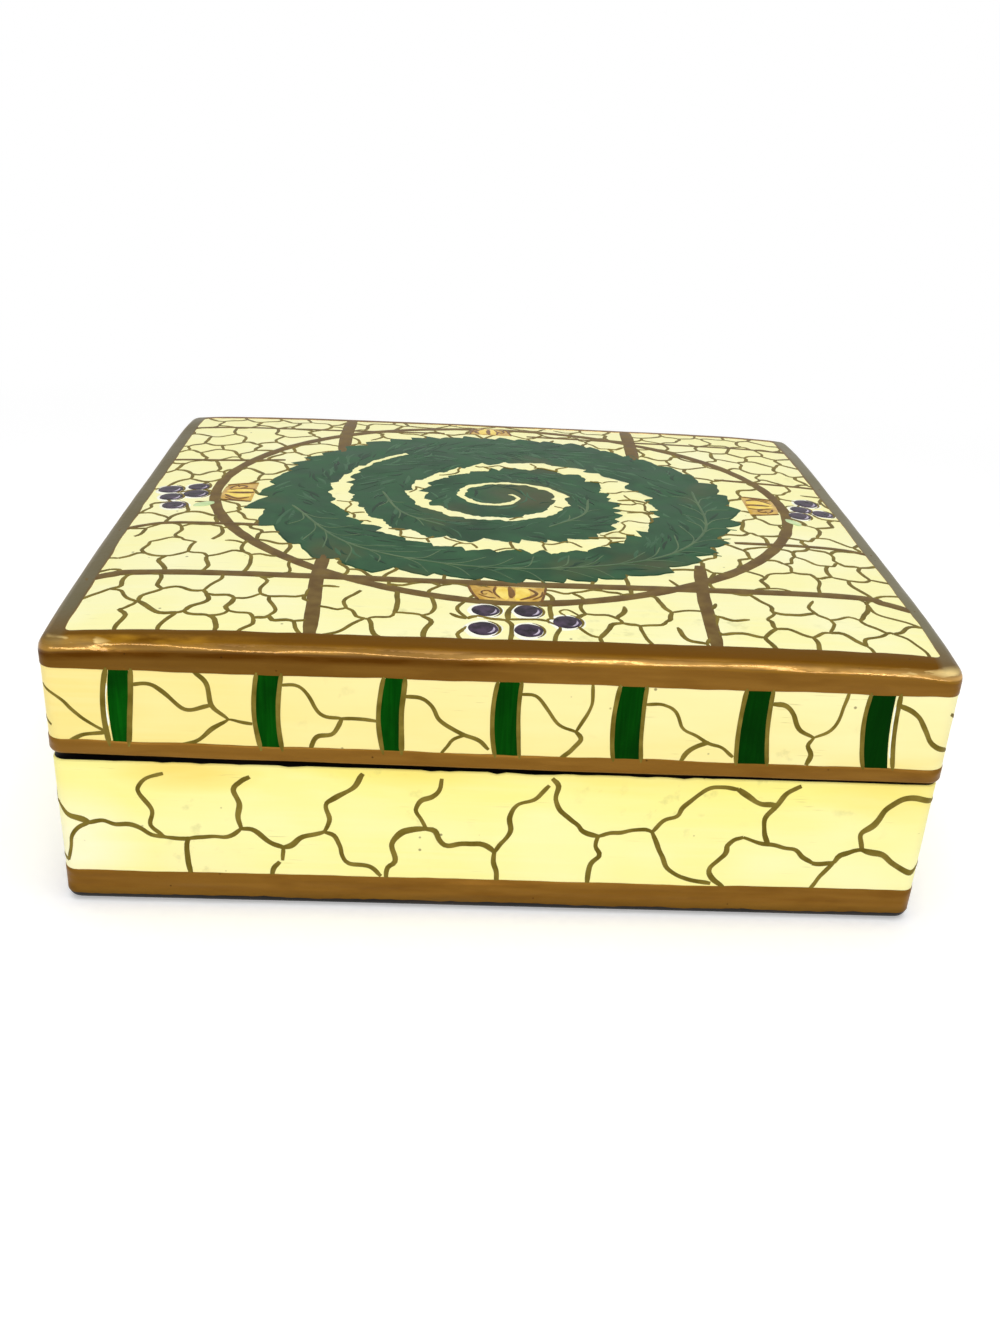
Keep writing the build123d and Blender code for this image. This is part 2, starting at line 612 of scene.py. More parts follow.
def make_gold_foot(material):
    """The gold band round the foot. It stops just short of the table, where the black underside begins."""
    def top(x, y):
        return FOOT_BAND_TOP + ragged(x, y, 31, (0.25, 15.0), (0.10, 3.5))

    def low(_x, _y):
        return FOOT_ROLL

    steps = ((0, SUNK), (0.05, BORDER_COAT), (0.35, BORDER_COAT), (0.7, BORDER_COAT))
    rows = wall_rows(base, top, low, steps)
    rows += [foot_row(share, BORDER_COAT) for share in (0.0, 0.5, 0.9)]
    rows += [foot_row(share, SUNK) for share in (1.0, 0.5, 0.0)]
    rows += wall_rows(base, top, low, ((0.6, SUNK),))
    round_film("base_gold_foot", rows, material, "base")


# ---------------------------------------------------------------- crackle

LINES_LEFT_OUT = 0.03      # shares of all lines
LINES_CUT_SHORT = 0.14
LEAST_EDGE = 0.4           # shorter edges between cells are left out


def cell_edges(seeds, reach):
    """The edges between Voronoi cells: each is the part of a bisector that no third seed is nearer to."""
    edges = []
    for i, p in enumerate(seeds):
        near = [(j, q) for j, q in enumerate(seeds) if j != i and (q - p).length < reach]
        for j, q in near:
            if j < i:
                continue
            middle = (p + q) / 2
            along = turn_left((q - p).normalized())
            low, high = -reach, reach
            for k, other in near:
                if k == j:
                    continue
                toward = other - p
                slope = along.dot(toward)
                room = ((p + other) / 2 - middle).dot(toward)
                if slope > 1e-9:
                    high = min(high, room / slope)
                elif slope < -1e-9:
                    low = max(low, room / slope)
            if high - low > LEAST_EDGE:
                edges.append((middle + along * low, middle + along * high))
    return edges


def lattice(low, high, pitch, jitter, rng):
    """Jittered seeds in staggered rows over a rectangle."""
    columns, rows = (max(1, round((high[n] - low[n]) / pitch[n])) for n in (0, 1))
    seeds = []
    for j in range(rows):
        for i in range(columns):
            x = low[0] + (high[0] - low[0]) * (i + 0.25 + 0.5 * (j % 2)) / columns
            y = low[1] + (high[1] - low[1]) * (j + 0.5) / rows
            seeds.append(Vector((x + rng.uniform(-jitter, jitter) * pitch[0],
                                 y + rng.uniform(-jitter, jitter) * pitch[1])))
    return seeds


def crack_line(a, b, rng, wobble):
    """A wavering line between two meeting places, scalloped as a brush leaves it."""
    length = (b - a).length
    side = turn_left((b - a).normalized())
    bow = rng.uniform(0.06, 0.18) * rng.choice((-1, 1)) * length
    lean = rng.uniform(-0.10, 0.10) * length
    middle = [a + (b - a) * share + side * (0.75 * bow + way * lean)
              for share, way in ((0.28, 1), (0.72, -1))]
    line = spline([a, *middle, b]) if length > 2 else spline([a, b])
    return waver(line, wobble, rng, 3.2, side)


def draw_crackle(film, place, edges, keep, width, wobble, rng):
    """Crack lines along edges. Some stop short, and a few are left out, as in hand work."""
    for a, b in edges:
        if not keep(a) and not keep(b):
            continue
        chance = rng.random()
        if chance < LINES_LEFT_OUT and (b - a).length > 3:
            continue
        line = crack_line(a, b, rng, wobble)
        taper = (0.8, 0.8)
        if chance < LINES_CUT_SHORT and len(line) > 8:
            line = line[:int(len(line) * rng.uniform(0.55, 0.8))]
            taper = (0.8, 0.45)
        here = width * rng.uniform(0.8, 1.2)
        seed = rng.uniform(0, 50)
        line = [p for p in line if keep(p)]
        if len(line) > 3:
            film.stroke(place, line, here, taper=taper, seed=seed)


# ---------------------------------------------------------------- the lid's top

GARLAND_CENTRE = Vector((-0.4, 6.6))
# Reach of the garland at even steps, from the right and anticlockwise, and on average
GARLAND_REACH = (51.5, 50.0, 47.2, 45.5, 44.5, 45.5, 46.5, 48.0,
                 49.2, 51.5, 51.8, 48.5, 47.2, 49.0, 50.5, 50.6)
GARLAND_RADIUS = 49
GARLAND_PLACES = 1000
NOTCH_INSET = 1.3          # the notches between its leaves lie this far inside its reach
# Leaves round it: up to which share of the way round, shortest and longest leaf, depth of the notches
LEAF_RUNS = (
    (0.05, (6.0, 10.5), 4.2), (0.46, (3.6, 8.0), 2.8), (0.68, (8.0, 13.5), 4.8), (1.00, (5.0, 10.5), 3.4),
)
# The cream gap of the spiral: turns clockwise from the right, distance from the centre, width
GAP_COURSE = (
    (-0.060, 3.0, 0.8), (0.040, 4.6, 1.5), (0.250, 5.7, 1.1), (0.500, 7.4, 1.7), (0.750, 7.9, 1.4),
    (0.875, 10.4, 1.9), (1.000, 13.6, 3.6), (1.250, 14.3, 2.0), (1.500, 16.8, 4.2), (1.625, 16.8, 3.0),
    (1.750, 19.6, 5.4), (1.875, 25.5, 5.4), (2.000, 28.6, 9.0), (2.125, 31.6, 6.0), (2.250, 29.2, 6.2),
    (2.375, 31.0, 4.3), (2.500, 32.6, 4.6), (2.560, 33.0, 2.0), (2.650, 33.4, 0.9),
)
GAP_STEP = 0.35
GAP_SPREAD = 0.66          # from the gap's middle line to its edge, for a width of 1
GAP_CELL = (7.6, 6.4)
GAP_TIPS = (2.8, 9.0)      # shortest and longest leaf tip that bites into it
GAP_CELLS_FROM = 0.9       # turns, where the gap gets wide enough for crackle
GAP_SECTORS = 240
# Lines that cross the gap
GAP_LINES = (
    ((-22, -15.6), (-15.5, -15.8)), ((11, -17.6), (17, -16.6), (24.5, -15.8)),
    ((25.2, 6.5), (28.5, 7.2), (31.4, 5.8)), ((26.4, -1.0), (29.6, -0.2), (32.6, -1.4)),
)
# The leaf bands from the outermost inwards: where each begins, and where its middle is
LEAF_BANDS = ((31, 42.5), (14, 22), (0, 9))
LEAF_DABS = 900
# Midribs, as turns clockwise from the right and distance from the centre, with the reach of their side veins
MIDRIBS = (
    (((0.46, 43.0), (0.36, 42.0), (0.25, 40.3), (0.14, 43.5), (0.06, 44.6), (-0.03, 43.6)), 6.8),
    (((0.50, 24.0), (0.41, 23.0), (0.33, 22.0)), 3.6),
    (((0.17, 20.5), (0.08, 20.0), (0.0, 19.4)), 3.6),
)

RING_CENTRE = Vector((1.1, 4.5))
RING_REACH = (59.5, 53.4)
RING_WIDTH = 2.5
RING_POWERS = (2.0, 1.85)  # of the back half, which is an ellipse, and of the flatter front half
RING_PLACES = 420

# Straps over the top: listed lines and their widths. The gold border covers their outer ends.
STRAPS = (
    (((-32.3, -62.6), (-32.7, -52), (-33.2, -42), (-33.0, -30.0)), 2.7),
    (((34.3, -62.4), (34.6, -54), (35.1, -44), (36.2, -34), (36.9, -28.8)), 2.6),
    (((-34.8, 33), (-35.2, 48), (-35.0, 63)), 3.2),
    (((32.2, 36), (32.8, 50), (33.2, 63)), 3.3),
    (((-73, -43.4), (-69, -41.3), (-62, -40.4), (-20, -40.8), (8, -40.7), (60, -40.2), (68, -42),
      (73, -44.6)), 2.5),
    (((-73, -19.5), (-69, -17), (-63, -15.5), (-47, -15.8)), 1.5),
    (((46, -15.8), (60, -15.8), (68, -16.3), (73, -17.8)), 1.5),
    (((-73, 25.5), (-60, 24.6), (-47, 25.4)), 1.3),
    (((49, 24.0), (60, 23.0), (73, 22.5)), 1.3),
    (((-73, 51.6), (-35, 51.4), (-12, 52.6)), 1.3),
    (((8, 52.6), (34, 51.2), (73, 50.5)), 1.3),
)


def reach_at(share):
    """Reach of the garland at this share of the way round."""
    count = len(GARLAND_REACH)
    k, t = divmod(share * count, 1)
    return curve(*(GARLAND_REACH[(int(k) + n) % count] for n in (-1, 0, 1, 2)), t)


def inside_garland(p, margin):
    offset = p - GARLAND_CENTRE
    share = (math.atan2(offset.y, offset.x) / (2 * math.pi)) % 1.0
    return offset.length < reach_at(share) - margin


def teeth(length, pitch, deep, rng):
    """Leaves along a length, long and short ones mixed: where each starts, its length, depth and shape."""
    leaves = []
    gone = 0.0
    while gone < length - 0.4 * pitch[0]:
        step = rng.uniform(*pitch)
        depth = deep * rng.uniform(0.35, 1.0)
        leaves.append((gone, step, depth, rng.uniform(0.40, 0.95), rng.uniform(0.70, 0.92)))
        gone += step
    scale = length / gone
    return [(start * scale, step * scale, *shape) for start, step, *shape in leaves]


def leaf_edge(at, leaves):
    """0 at a notch to the leaf's depth at its tip, for a place along the edge."""
    for start, step, depth, belly, tip in leaves:
        if start <= at < start + step:
            p = (at - start) / step
            return depth * ((p / tip) ** belly if p < tip else ((1 - p) / (1 - tip)) ** 0.7)
    return 0.0


def garland_outline(rng):
    """The garland's outer edge: leaf after leaf, their tips pointing anticlockwise."""
    around = 2 * math.pi * GARLAND_RADIUS
    leaves, start = [], 0.0
    for share, pitch, deep in LEAF_RUNS:
        run = teeth(share * around - start, pitch, deep, rng)
        leaves += [(start + at, *rest) for at, *rest in run]
        start = share * around
    outline = []
    for k in range(GARLAND_PLACES):
        share = k / GARLAND_PLACES
        reach = reach_at(share) - NOTCH_INSET + leaf_edge(around * share, leaves)
        outline.append(GARLAND_CENTRE + polar(share, reach + 0.35 * wave(k * 0.3, 0, 9, 2.0)))
    return outline


def gap_place(turn, reach):
    """A place at these turns clockwise from the right."""
    return GARLAND_CENTRE + polar(-turn, reach)


def gap_course():
    """The gap's middle line and width, closely spaced: turn, reach and width, which never overshoots."""
    found = []
    for a, b, c, d in stretches([Vector(row) for row in GAP_COURSE]):
        pieces = max(4, round((c[0] - b[0]) * 2 * math.pi * b[1] / GAP_STEP))
        for t in (k / pieces for k in range(pieces)):
            found.append((b[0] + (c[0] - b[0]) * t, curve(a, b, c, d, t)[1], b[2] + (c[2] - b[2]) * ease(t)))
    return found


def gap_edges(rng):
    """The two edges of the cream gap, with leaf tips biting into it where it is wide."""
    course = gap_course()
    length = sum(2 * math.pi * (b[0] - a[0]) * b[1] for a, b in zip(course, course[1:]))
    tips = [teeth(length, GAP_TIPS, 1.0, rng) for _ in range(2)]
    edges = ([], [])
    along = 0.0
    for (turn, reach, width), before in zip(course, course[:1] + course):
        along += 2 * math.pi * (turn - before[0]) * reach
        bite = min(0.60 * width, 3.4) * ease((width - 0.5) / 1.4)
        for edge, leaves, way, seed in zip(edges, tips, (-1, 1), (0, 7)):
            # the gap is drawn clockwise, so its leaves are met tip first
            bitten = GAP_SPREAD * width - bite * leaf_edge(length - along, leaves)
            shake = min(0.22 * width, 0.38) * wave(along, seed, 4, 0.9)
            edge.append(gap_place(turn, reach + way * bitten + shake))
    return edges


def make_garland(green, cream, brown, vein, light, dark):
    """The round garland: green leaves, the cream gap of the spiral in them, and all that is drawn on both."""
    rng = random.Random(41)
    leaves, gap = Film(), Film()
    leaves.blot(on_top, GARLAND_CENTRE, garland_outline(rng), GREEN_COAT, rings=30)
    leaves.finish("lid_garland", green)
    gap.band(on_top, *gap_edges(rng), GAP_COAT, columns=5)
    gap.finish("lid_garland_gap", cream)
    make_gap_crackle(brown, rng)
    make_leaf_dabs(light, dark)
    make_veins(vein, rng)


def make_gap_crackle(brown, rng):
    """Small cells of crackle in the wide part of the gap, and the lines that cross it."""
    rooms = {}
    for turn, reach, width in gap_course():
        if turn > GAP_CELLS_FROM:
            rooms.setdefault(round(turn * GAP_SECTORS) % GAP_SECTORS, []).append((reach, 0.5 * width - 0.3))

    def keep(p):
        offset = p - GARLAND_CENTRE
        turn = -math.atan2(offset.y, offset.x) / (2 * math.pi)
        crossed = rooms.get(round(turn * GAP_SECTORS) % GAP_SECTORS, ())
        return any(abs(offset.length - reach) < room for reach, room in crossed)

    film = Film()
    place = lifted(on_top, GAP_COAT)
    seeds = lattice((-38, -32), (38, 44), GAP_CELL, 0.34, rng)
    draw_crackle(film, place, cell_edges(seeds, 24), keep, 0.60, 0.40, rng)
    for points in GAP_LINES:
        film.stroke(place, [p for p in spline(points) if keep(p)], 1.0)
    film.finish("lid_gap_crackle", brown)


def make_leaf_dabs(light, dark):
    """Lighter and darker dabs of green that sweep from the middle of each leaf band to its edges."""
    rng = random.Random(57)
    place = lifted(on_top, GREEN_COAT)
    gap = [(gap_place(turn, reach), GAP_SPREAD * width) for turn, reach, width in gap_course()]
    films = {light: Film(), dark: Film()}
    for _ in range(LEAF_DABS):
        out = polar(rng.uniform(0, 1))
        reach = GARLAND_RADIUS * math.sqrt(rng.uniform(0.01, 1))
        middle = next(middle for start, middle in LEAF_BANDS if reach > start)
        splay = math.radians(rng.uniform(18, 42)) * (1 if reach > middle else -1)
        way = Matrix.Rotation(-splay, 2) @ turn_left(out)
        start = GARLAND_CENTRE + reach * out
        length = rng.uniform(2.5, 7.0)
        bend = turn_left(way) * rng.uniform(-0.8, 0.8)
        line = spline([start, start + way * 0.5 * length + bend, start + way * length])
        if any((p - q).length < room for p in line[::3] for q, room in gap[::3]):
            continue
        if not all(inside_garland(p, 3.2) for p in line[::3]):
            continue
        film = films[light if rng.random() < 0.5 else dark]
        film.stroke(place, line, rng.uniform(0.3, 1.0), coat=0.018, taper=(0.3, 0.3), lens=1.0)
    films[light].finish("lid_leaf_lights", light)
    films[dark].finish("lid_leaf_darks", dark)


def make_veins(vein, rng):
    """Light midribs along the middle of two leaf bands, and side veins that sweep towards the tips."""
    film = Film()
    place = lifted(on_top, GREEN_COAT)
    for rib, reach in MIDRIBS:
        line = spline([gap_place(*point) for point in rib], 1.2)
        film.stroke(place, line, 0.62, coat=0.04, taper=(0.4, 0.3))
        directions = tangents(line)
        k = 4
        while k < len(line) - 4:
            start, ahead = line[k], directions[k]
            for out in (-turn_left(ahead), turn_left(ahead)):
                tip = start + out * reach * rng.uniform(0.6, 1.0) + ahead * reach * rng.uniform(0.7, 1.3)
                bend = start + out * reach * 0.22 + ahead * reach * 0.55
                film.stroke(place, spline([start, bend, tip]), 0.32, coat=0.03, taper=(0.6, 0.2))
            k += rng.randint(4, 7)
    film.finish("lid_garland_veins", vein)


def make_straps(brown):
    """The ring round the garland and the straps that divide the top."""
    film = Film()
    loop = []
    for k in range(RING_PLACES + 1):
        c, s = polar(k / RING_PLACES)
        power = 2 / RING_POWERS[0 if s > 0 else 1]
        place = [reach * math.copysign(abs(part) ** power, part) for reach, part in zip(RING_REACH, (c, s))]
        loop.append(RING_CENTRE + Vector(place) * (1 + 0.010 * wave(3 * c, 3 * s, 4, 2.0)))
    film.stroke(on_top, loop, RING_WIDTH, coat=0.07, rough=0.15, taper=(1, 1))
    for points, width in STRAPS:
        film.stroke(on_top, spline(points), width, coat=0.08, rough=0.08, taper=(0.8, 0.8))
    film.finish("lid_straps", brown)


# Middles of the cells in the strip between the front strap and the front border
FRONT_CELLS = (
    (-70.3, -44.5), (-68.5, -51.5), (-68.5, -59.5), (-64, -46.5), (-59.5, -58.5), (-55.5, -51.5),
    (-55, -44), (-51.5, -60.5), (-49.3, -53.7), (-47, -46.5), (-43.3, -54), (-46, -59), (-38, -45),
    (-36.6, -53.2), (-40, -61.6), (-28.6, -42.5), (-29.3, -48.8), (-30, -57.2), (-23, -50.5),
    (-25, -62.8), (-16.3, -49.5), (-17.6, -59.5), (-10.6, -59), (-8.5, -50.5), (-3.6, -59.5),
    (-3.5, -51.5), (3.5, -59), (3.6, -51.5), (10.5, -58.5), (10.5, -50.5), (15.5, -49.5), (14, -55.5),
    (20.3, -60.4), (23, -51), (26.3, -58.8), (32, -54.5), (31, -45.5), (40.3, -47.8), (40, -55),
    (39.6, -61.4), (47, -60.6), (50.6, -52.5), (50.5, -44), (55.4, -61), (60, -54.8), (59, -45.8),
    (66.3, -49.5), (64.8, -59.5), (70.6, -57), (70.8, -45),
)
TOP_CELL = (8.4, 6.8)
FRONT_CELLS_END = -38.5    # behind it the cells are spread at random
MIRROR_LINE = -63.3        # the front cells are mirrored here, so that they end square to the border
MIRRORED_FROM = -57


def make_top_crackle(brown):
    """Cells of crackle all over the top, apart from the garland and the gold border."""
    rng = random.Random(7)
    seeds = lattice((-lid.half_x, FRONT_CELLS_END), (lid.half_x, lid.half_y), TOP_CELL, 0.27, rng)
    seeds += [Vector(place) for place in FRONT_CELLS]
    seeds += [Vector((x, 2 * MIRROR_LINE - y)) for x, y in FRONT_CELLS if y < MIRRORED_FROM]

    def keep(p):
        within = abs(p.x) < lid.half_x - 3.0 and abs(p.y) < lid.half_y - 2.9
        return within and not inside_garland(p, 4.5)

    film = Film()
    draw_crackle(film, on_top, cell_edges(seeds, 28), keep, 0.88, 0.55, rng)
    film.finish("lid_top_crackle", brown)


# Each flower: middle of its flat side, the way it opens in degrees, width and height
FLOWERS = (
    ((0.3, -42.0), -90, 13.8, 6.3), ((-50.4, 3.2), 180, 11.5, 6.6),
    ((52.6, 7.0), 0, 11.5, 6.6), ((-0.8, 52.6), 90, 10.0, 6.4),
)
# Inside a flower, as shares of its height and half its width: edge, bright petals, and strokes with widths
FLOWER_EDGE = (
    (0.0, -1.0), (0.5, -0.90), (0.93, -0.74), (1.03, -0.30),
    (1.03, 0.36), (0.95, 0.80), (0.5, 0.93), (0.0, 1.0),
)
PETALS = (
    ((0.10, -0.25), (0.45, -0.30), (0.85, -0.14), (0.90, 0.00), (0.50, 0.02), (0.10, -0.02)),
    ((0.10, 0.20), (0.50, 0.20), (0.88, 0.16), (0.92, 0.34), (0.55, 0.58), (0.12, 0.50)),
)
FLOWER_STROKES = (
    (((0.04, 0.06), (0.45, 0.10), (0.80, 0.08)), 0.95),
    (((0.06, -0.30), (0.45, -0.34), (0.80, -0.20)), 0.40),
    (((0.52, -0.38), (0.34, -0.50), (0.42, -0.66), (0.60, -0.62), (0.56, -0.52)), 0.42),
    (((0.84, -0.30), (0.78, -0.52), (0.60, -0.74)), 0.38),
    (((0.14, 0.56), (0.42, 0.74), (0.66, 0.60), (0.90, 0.30)), 0.60),
    (((0.30, 0.90), (0.60, 0.84), (0.86, 0.62)), 0.36),
    (((0.02, -1.00), (0.50, -0.90), (0.97, -0.74)), 0.45),
    (((0.02, 1.00), (0.50, 0.93), (0.97, 0.84)), 0.40),
)
FLOWER_STROKE_WIDTH = 1.25     # of a stroke of width 1

GRAPE_REACH = 2.3
GRAPES = (
    (-3.6, -52.2), (3.6, -52.0), (10.0, -55.6), (-4.1, -58.8), (3.4, -59.0),
    (-68.0, 4.4), (-62.5, 6.0), (-67.0, -0.3), (-62.3, 1.6), (-65.4, -5.5),
    (66.8, 11.0), (64.6, 6.6), (63.4, 2.4), (69.0, 5.0),
)
GRAPE_STALKS = (
    ((10.0, -53.4), (9.0, -51.6), (10.4, -50.8), (12.6, -53.4)),
    ((-63.0, 7.6), (-61.0, 8.6), (-60.0, 6.6)), ((63.6, 9.0), (62.0, 8.4), (61.4, 7.2)),
)
# Leaves beside the grapes: middle, length and width from it, seed of their waver, and angle
GRAPE_LEAVES = (((-59.6, -4.6), 2.3, 1.2, 3, 0.5), ((61.0, -2.0), 2.1, 1.1, 8, 2.2))


def in_flower(flower, points):
    """Places in a flower, from shares of its height and of half its width."""
    root, facing, width, height = flower
    turn = Matrix.Rotation(math.radians(facing), 2)
    return [Vector(root) + turn @ Vector((up * height, 0.5 * across * width)) for up, across in points]


def make_flowers(orange, yellow, stroke_brown):
    grounds, petals, lines = Film(), Film(), Film()
    raised = lifted(on_top, GREEN_COAT)
    for flower in FLOWERS:
        middle = in_flower(flower, [(0.5, 0)])[0]
        grounds.blot(on_top, middle, spline(in_flower(flower, FLOWER_EDGE), FINE_STEP), GREEN_COAT)
        for petal in PETALS:
            loop = spline(in_flower(flower, petal + petal[:1]), FINE_STEP)[:-1]
            petals.blot(raised, sum(loop, Vector((0, 0))) / len(loop), loop, 0.03)
        for points, width in FLOWER_STROKES:
            lines.stroke(raised, spline(in_flower(flower, points), 0.4), FLOWER_STROKE_WIDTH * width,
                         coat=0.05, taper=(0.5, 0.4), rough=0.3)
    grounds.finish("lid_flowers", orange)
    petals.finish("lid_petals", yellow)
    lines.finish("lid_flower_lines", stroke_brown)


def oval(centre, reach_x, reach_y, places, shake, seed, turn=0.0):
    """An uneven ellipse."""
    outline = []
    for c, s in (polar(k / places) for k in range(places)):
        grow = 1 + shake * wave(3 * c, 3 * s, seed, 2.0)
        outline.append(Vector(centre) + Matrix.Rotation(turn, 2) @ Vector((reach_x * c, reach_y * s)) * grow)
    return outline


def arc(centre, reach, start, end):
    """A line round a centre, from one angle to another in degrees."""
    return spline([Vector(centre) + polar(angle / 360, reach) for angle in range(start, end + 1, 15)], 0.4)


def make_grapes(halo_white, purple, pale, stalk, leaf_green):
    rng = random.Random(5)
    halos, skins, shines, stalks, leaf = Film(), Film(), Film(), Film(), Film()
    raised = lifted(on_top, DETAIL_COAT)
    for grape in GRAPES:
        reach = GRAPE_REACH * rng.uniform(0.92, 1.08)
        halo = oval(grape, reach * 1.35, reach * 1.22, 28, 0.16, grape[0] + 9)
        skin = oval(grape, reach * 1.06, reach * 0.94, 28, 0.08, grape[0])
        halos.blot(on_top, grape, halo, 0.05)
        skins.blot(on_top, grape, skin, DETAIL_COAT, rings=4)
        shines.stroke(raised, arc(grape, 0.72 * reach, -70, 20), 0.45, coat=0.03, taper=(0.3, 0.3), lens=1.0)
        stalks.stroke(on_top, arc(grape, 1.12 * reach, -60, 75), 0.55, coat=0.10, lens=0.9)
    for points in GRAPE_STALKS:
        stalks.stroke(on_top, spline(points, FINE_STEP), 0.5)
    for middle, length, width, seed, turn in GRAPE_LEAVES:
        leaf.blot(on_top, middle, oval(middle, length, width, 24, 0.12, seed, turn), DETAIL_COAT)
    halos.finish("lid_grape_halos", halo_white)
    skins.finish("lid_grapes", purple)
    shines.finish("lid_grape_shines", pale)
    stalks.finish("lid_grape_stalks", stalk)
    leaf.finish("lid_grape_leaves", leaf_green)


# ---------------------------------------------------------------- the lid's walls

BAR_BOTTOM, BAR_TOP = 31.8, 46.4       # the gold borders cover both ends
BAR_STEPS = 22
BAR_WIDTH = 3.7
BAR_LINE = 0.85
# Bars on the front: left and right edge at the top, half-way and at the bottom
FRONT_BARS = (
    ((-64.2, -60.8), (-64.8, -61.5), (-64.4, -62.2)), ((-40.3, -36.8), (-41.0, -37.4), (-40.0, -36.9)),
    ((-19.8, -16.9), (-20.7, -17.2), (-19.8, -17.2)), ((-1.2, 2.2), (-2.0, 2.0), (-1.1, 2.6)),
    ((18.8, 22.7), (18.1, 22.6), (18.8, 23.1)), ((39.6, 43.5), (39.2, 43.6), (39.6, 44.5)),
    ((60.4, 64.4), (60.1, 64.6), (61.4, 65.5)),
)
# How far the brown lines stand off these bars of the front, in the same order, and off all the others
LOOSE_LINES = {0: ((0.3, 0.3), (0.75, 0.3), (0.6, 0.3)), 6: ((0.25, 0.7), (0.2, 0.7), (0.2, 0.8))}
SNUG_LINES = ((0.25, 0.25), (0.15, 0.15), (0.20, 0.20))
# White slivers in the gaps between the outer bars and their loose lines
SLIVERS = (
    ((-64.7, 43.6), (-65.25, 40), (-64.9, 35.6)), ((64.6, 44.0), (65.0, 38.6), (65.4, 34.0)),
)
BACK_BARS = (-61.5, -41.0, -20.2, -0.6, 19.5, 40.2, 61.8)
SIDE_BARS = (-52.0, -31.4, -10.6, 10.2, 30.8, 51.6)

# Cracks in the cream between two bars, as shares of the panel: across, then up
FORK_PANEL = (
    ((0.00, 0.80), (0.20, 0.80), (0.45, 0.52), (0.66, 0.56)),
    ((0.53, 1.00), (0.63, 0.84), (0.66, 0.56), (0.80, 0.38)),
    ((0.80, 0.38), (0.90, 0.36), (1.00, 0.33)),
    ((0.80, 0.38), (0.66, 0.24), (0.52, 0.06), (0.36, 0.00)),
)
STEP_PANEL = (
    ((0.00, 0.86), (0.22, 0.82), (0.42, 0.50), (0.64, 0.44)),
    ((0.64, 0.44), (0.82, 0.46), (1.00, 0.42)),
    ((0.64, 0.44), (0.56, 0.24), (0.38, 0.18), (0.30, 0.00)),
)
SLOPE_PANEL = (
    ((0.00, 0.76), (0.17, 0.76), (0.32, 0.66), (0.42, 0.46), (0.58, 0.35), (0.72, 0.27), (0.88, 0.20),
     (1.00, 0.08)),
    ((0.72, 0.27), (0.59, 0.21), (0.50, 0.10), (0.44, 0.00)),
)
DROP_PANEL = (
    ((0.00, 0.84), (0.14, 0.82), (0.27, 0.70), (0.44, 0.46), (0.62, 0.36)),
    ((0.76, 1.00), (0.77, 0.74), (0.68, 0.48), (0.62, 0.36)),
    ((0.62, 0.36), (0.68, 0.25), (0.61, 0.11), (0.48, 0.00)),
)
WEDGE_PANEL = (
    ((0.00, 0.82), (0.13, 0.80), (0.25, 0.68), (0.33, 0.49), (0.50, 0.38)),
    ((0.79, 1.00), (0.76, 0.68), (0.66, 0.49), (0.50, 0.38)),
    ((0.50, 0.38), (0.45, 0.27), (0.50, 0.14), (0.47, 0.00)),
)
FRONT_PANELS = (FORK_PANEL, STEP_PANEL, SLOPE_PANEL, DROP_PANEL, SLOPE_PANEL, WEDGE_PANEL)
LEFT_END = (((0.00, 0.74), (0.34, 0.58), (0.66, 0.32), (1.00, 0.16)),
            ((0.40, 0.02), (0.66, 0.12), (1.00, 0.16)))
RIGHT_END = (((0.00, 0.86), (0.34, 0.72), (0.66, 0.34), (1.00, 0.22)),)
PANEL_LOW, PANEL_HIGH = 32.2, 46.2
PANEL_GAP = 0.5            # between a panel and the bars beside it


def make_lid_walls(green, brown, white):
    """Green bars round the walls, each with its two brown lines, and the cracked cream between them."""
    rng = random.Random(19)
    bars, lines, cracks, slivers = Film(), Film(), Film(), Film()
    for side, places in enumerate((FRONT_BARS, SIDE_BARS, BACK_BARS, SIDE_BARS)):
        middle = side * lid.around / 4
        half = (lid.half_x, lid.half_y)[side % 2]
        front = side == 0
        if not front:
            places = [handmade_bar(place, rng) for place in places]
        for k, bar in enumerate(places):
            draw_bar(bars, lines, middle, bar, LOOSE_LINES.get(k, SNUG_LINES) if front else SNUG_LINES, rng)
        # where the cream starts and ends at each bar, half-way down
        gaps = [(middle + bar[1][0] - PANEL_GAP, middle + bar[1][1] + PANEL_GAP) for bar in places]
        for k, ((_, start), (end, _)) in enumerate(zip(gaps, gaps[1:])):
            panel = FRONT_PANELS[k] if front else varied(rng.choice(FRONT_PANELS), rng)
            draw_panel(cracks, start, end, panel, rng)
        draw_panel(cracks, middle - half, gaps[0][0], LEFT_END, rng)
        draw_panel(cracks, gaps[-1][1], middle + half, RIGHT_END, rng)
    for points in SLIVERS:
        slivers.stroke(on_lid_wall, spline(points), 0.55, taper=(0.1, 0.1), rough=0.05)
    bars.finish("lid_green_bars", green)
    lines.finish("lid_bar_lines", brown)
    cracks.finish("lid_wall_crackle", brown)
    slivers.finish("lid_bar_slivers", white)


def varied(panel, rng):
    """The same cracks drawn again by hand: pushed sideways and up or down, and some of them mirrored."""
    push, lift = rng.uniform(-0.14, 0.14), rng.uniform(-0.16, 0.16)
    mirrored = rng.random() < 0.4
    lines = []
    for points in panel:
        moved = [(x + 4 * push * x * (1 - x), z + 4 * lift * z * (1 - z)) for x, z in points]
        lines.append([(1 - x, z) for x, z in moved] if mirrored else moved)
    return lines


def handmade_bar(s, rng):
    """A bar for a wall that isn't the front: bowed and leaning a little."""
    bow = rng.uniform(-0.8, 0.2)
    lean = rng.uniform(-0.3, 0.5)
    half = 0.5 * BAR_WIDTH * rng.uniform(0.9, 1.1)
    return [(s + shift - half, s + shift + half) for shift in (-lean, bow, lean)]


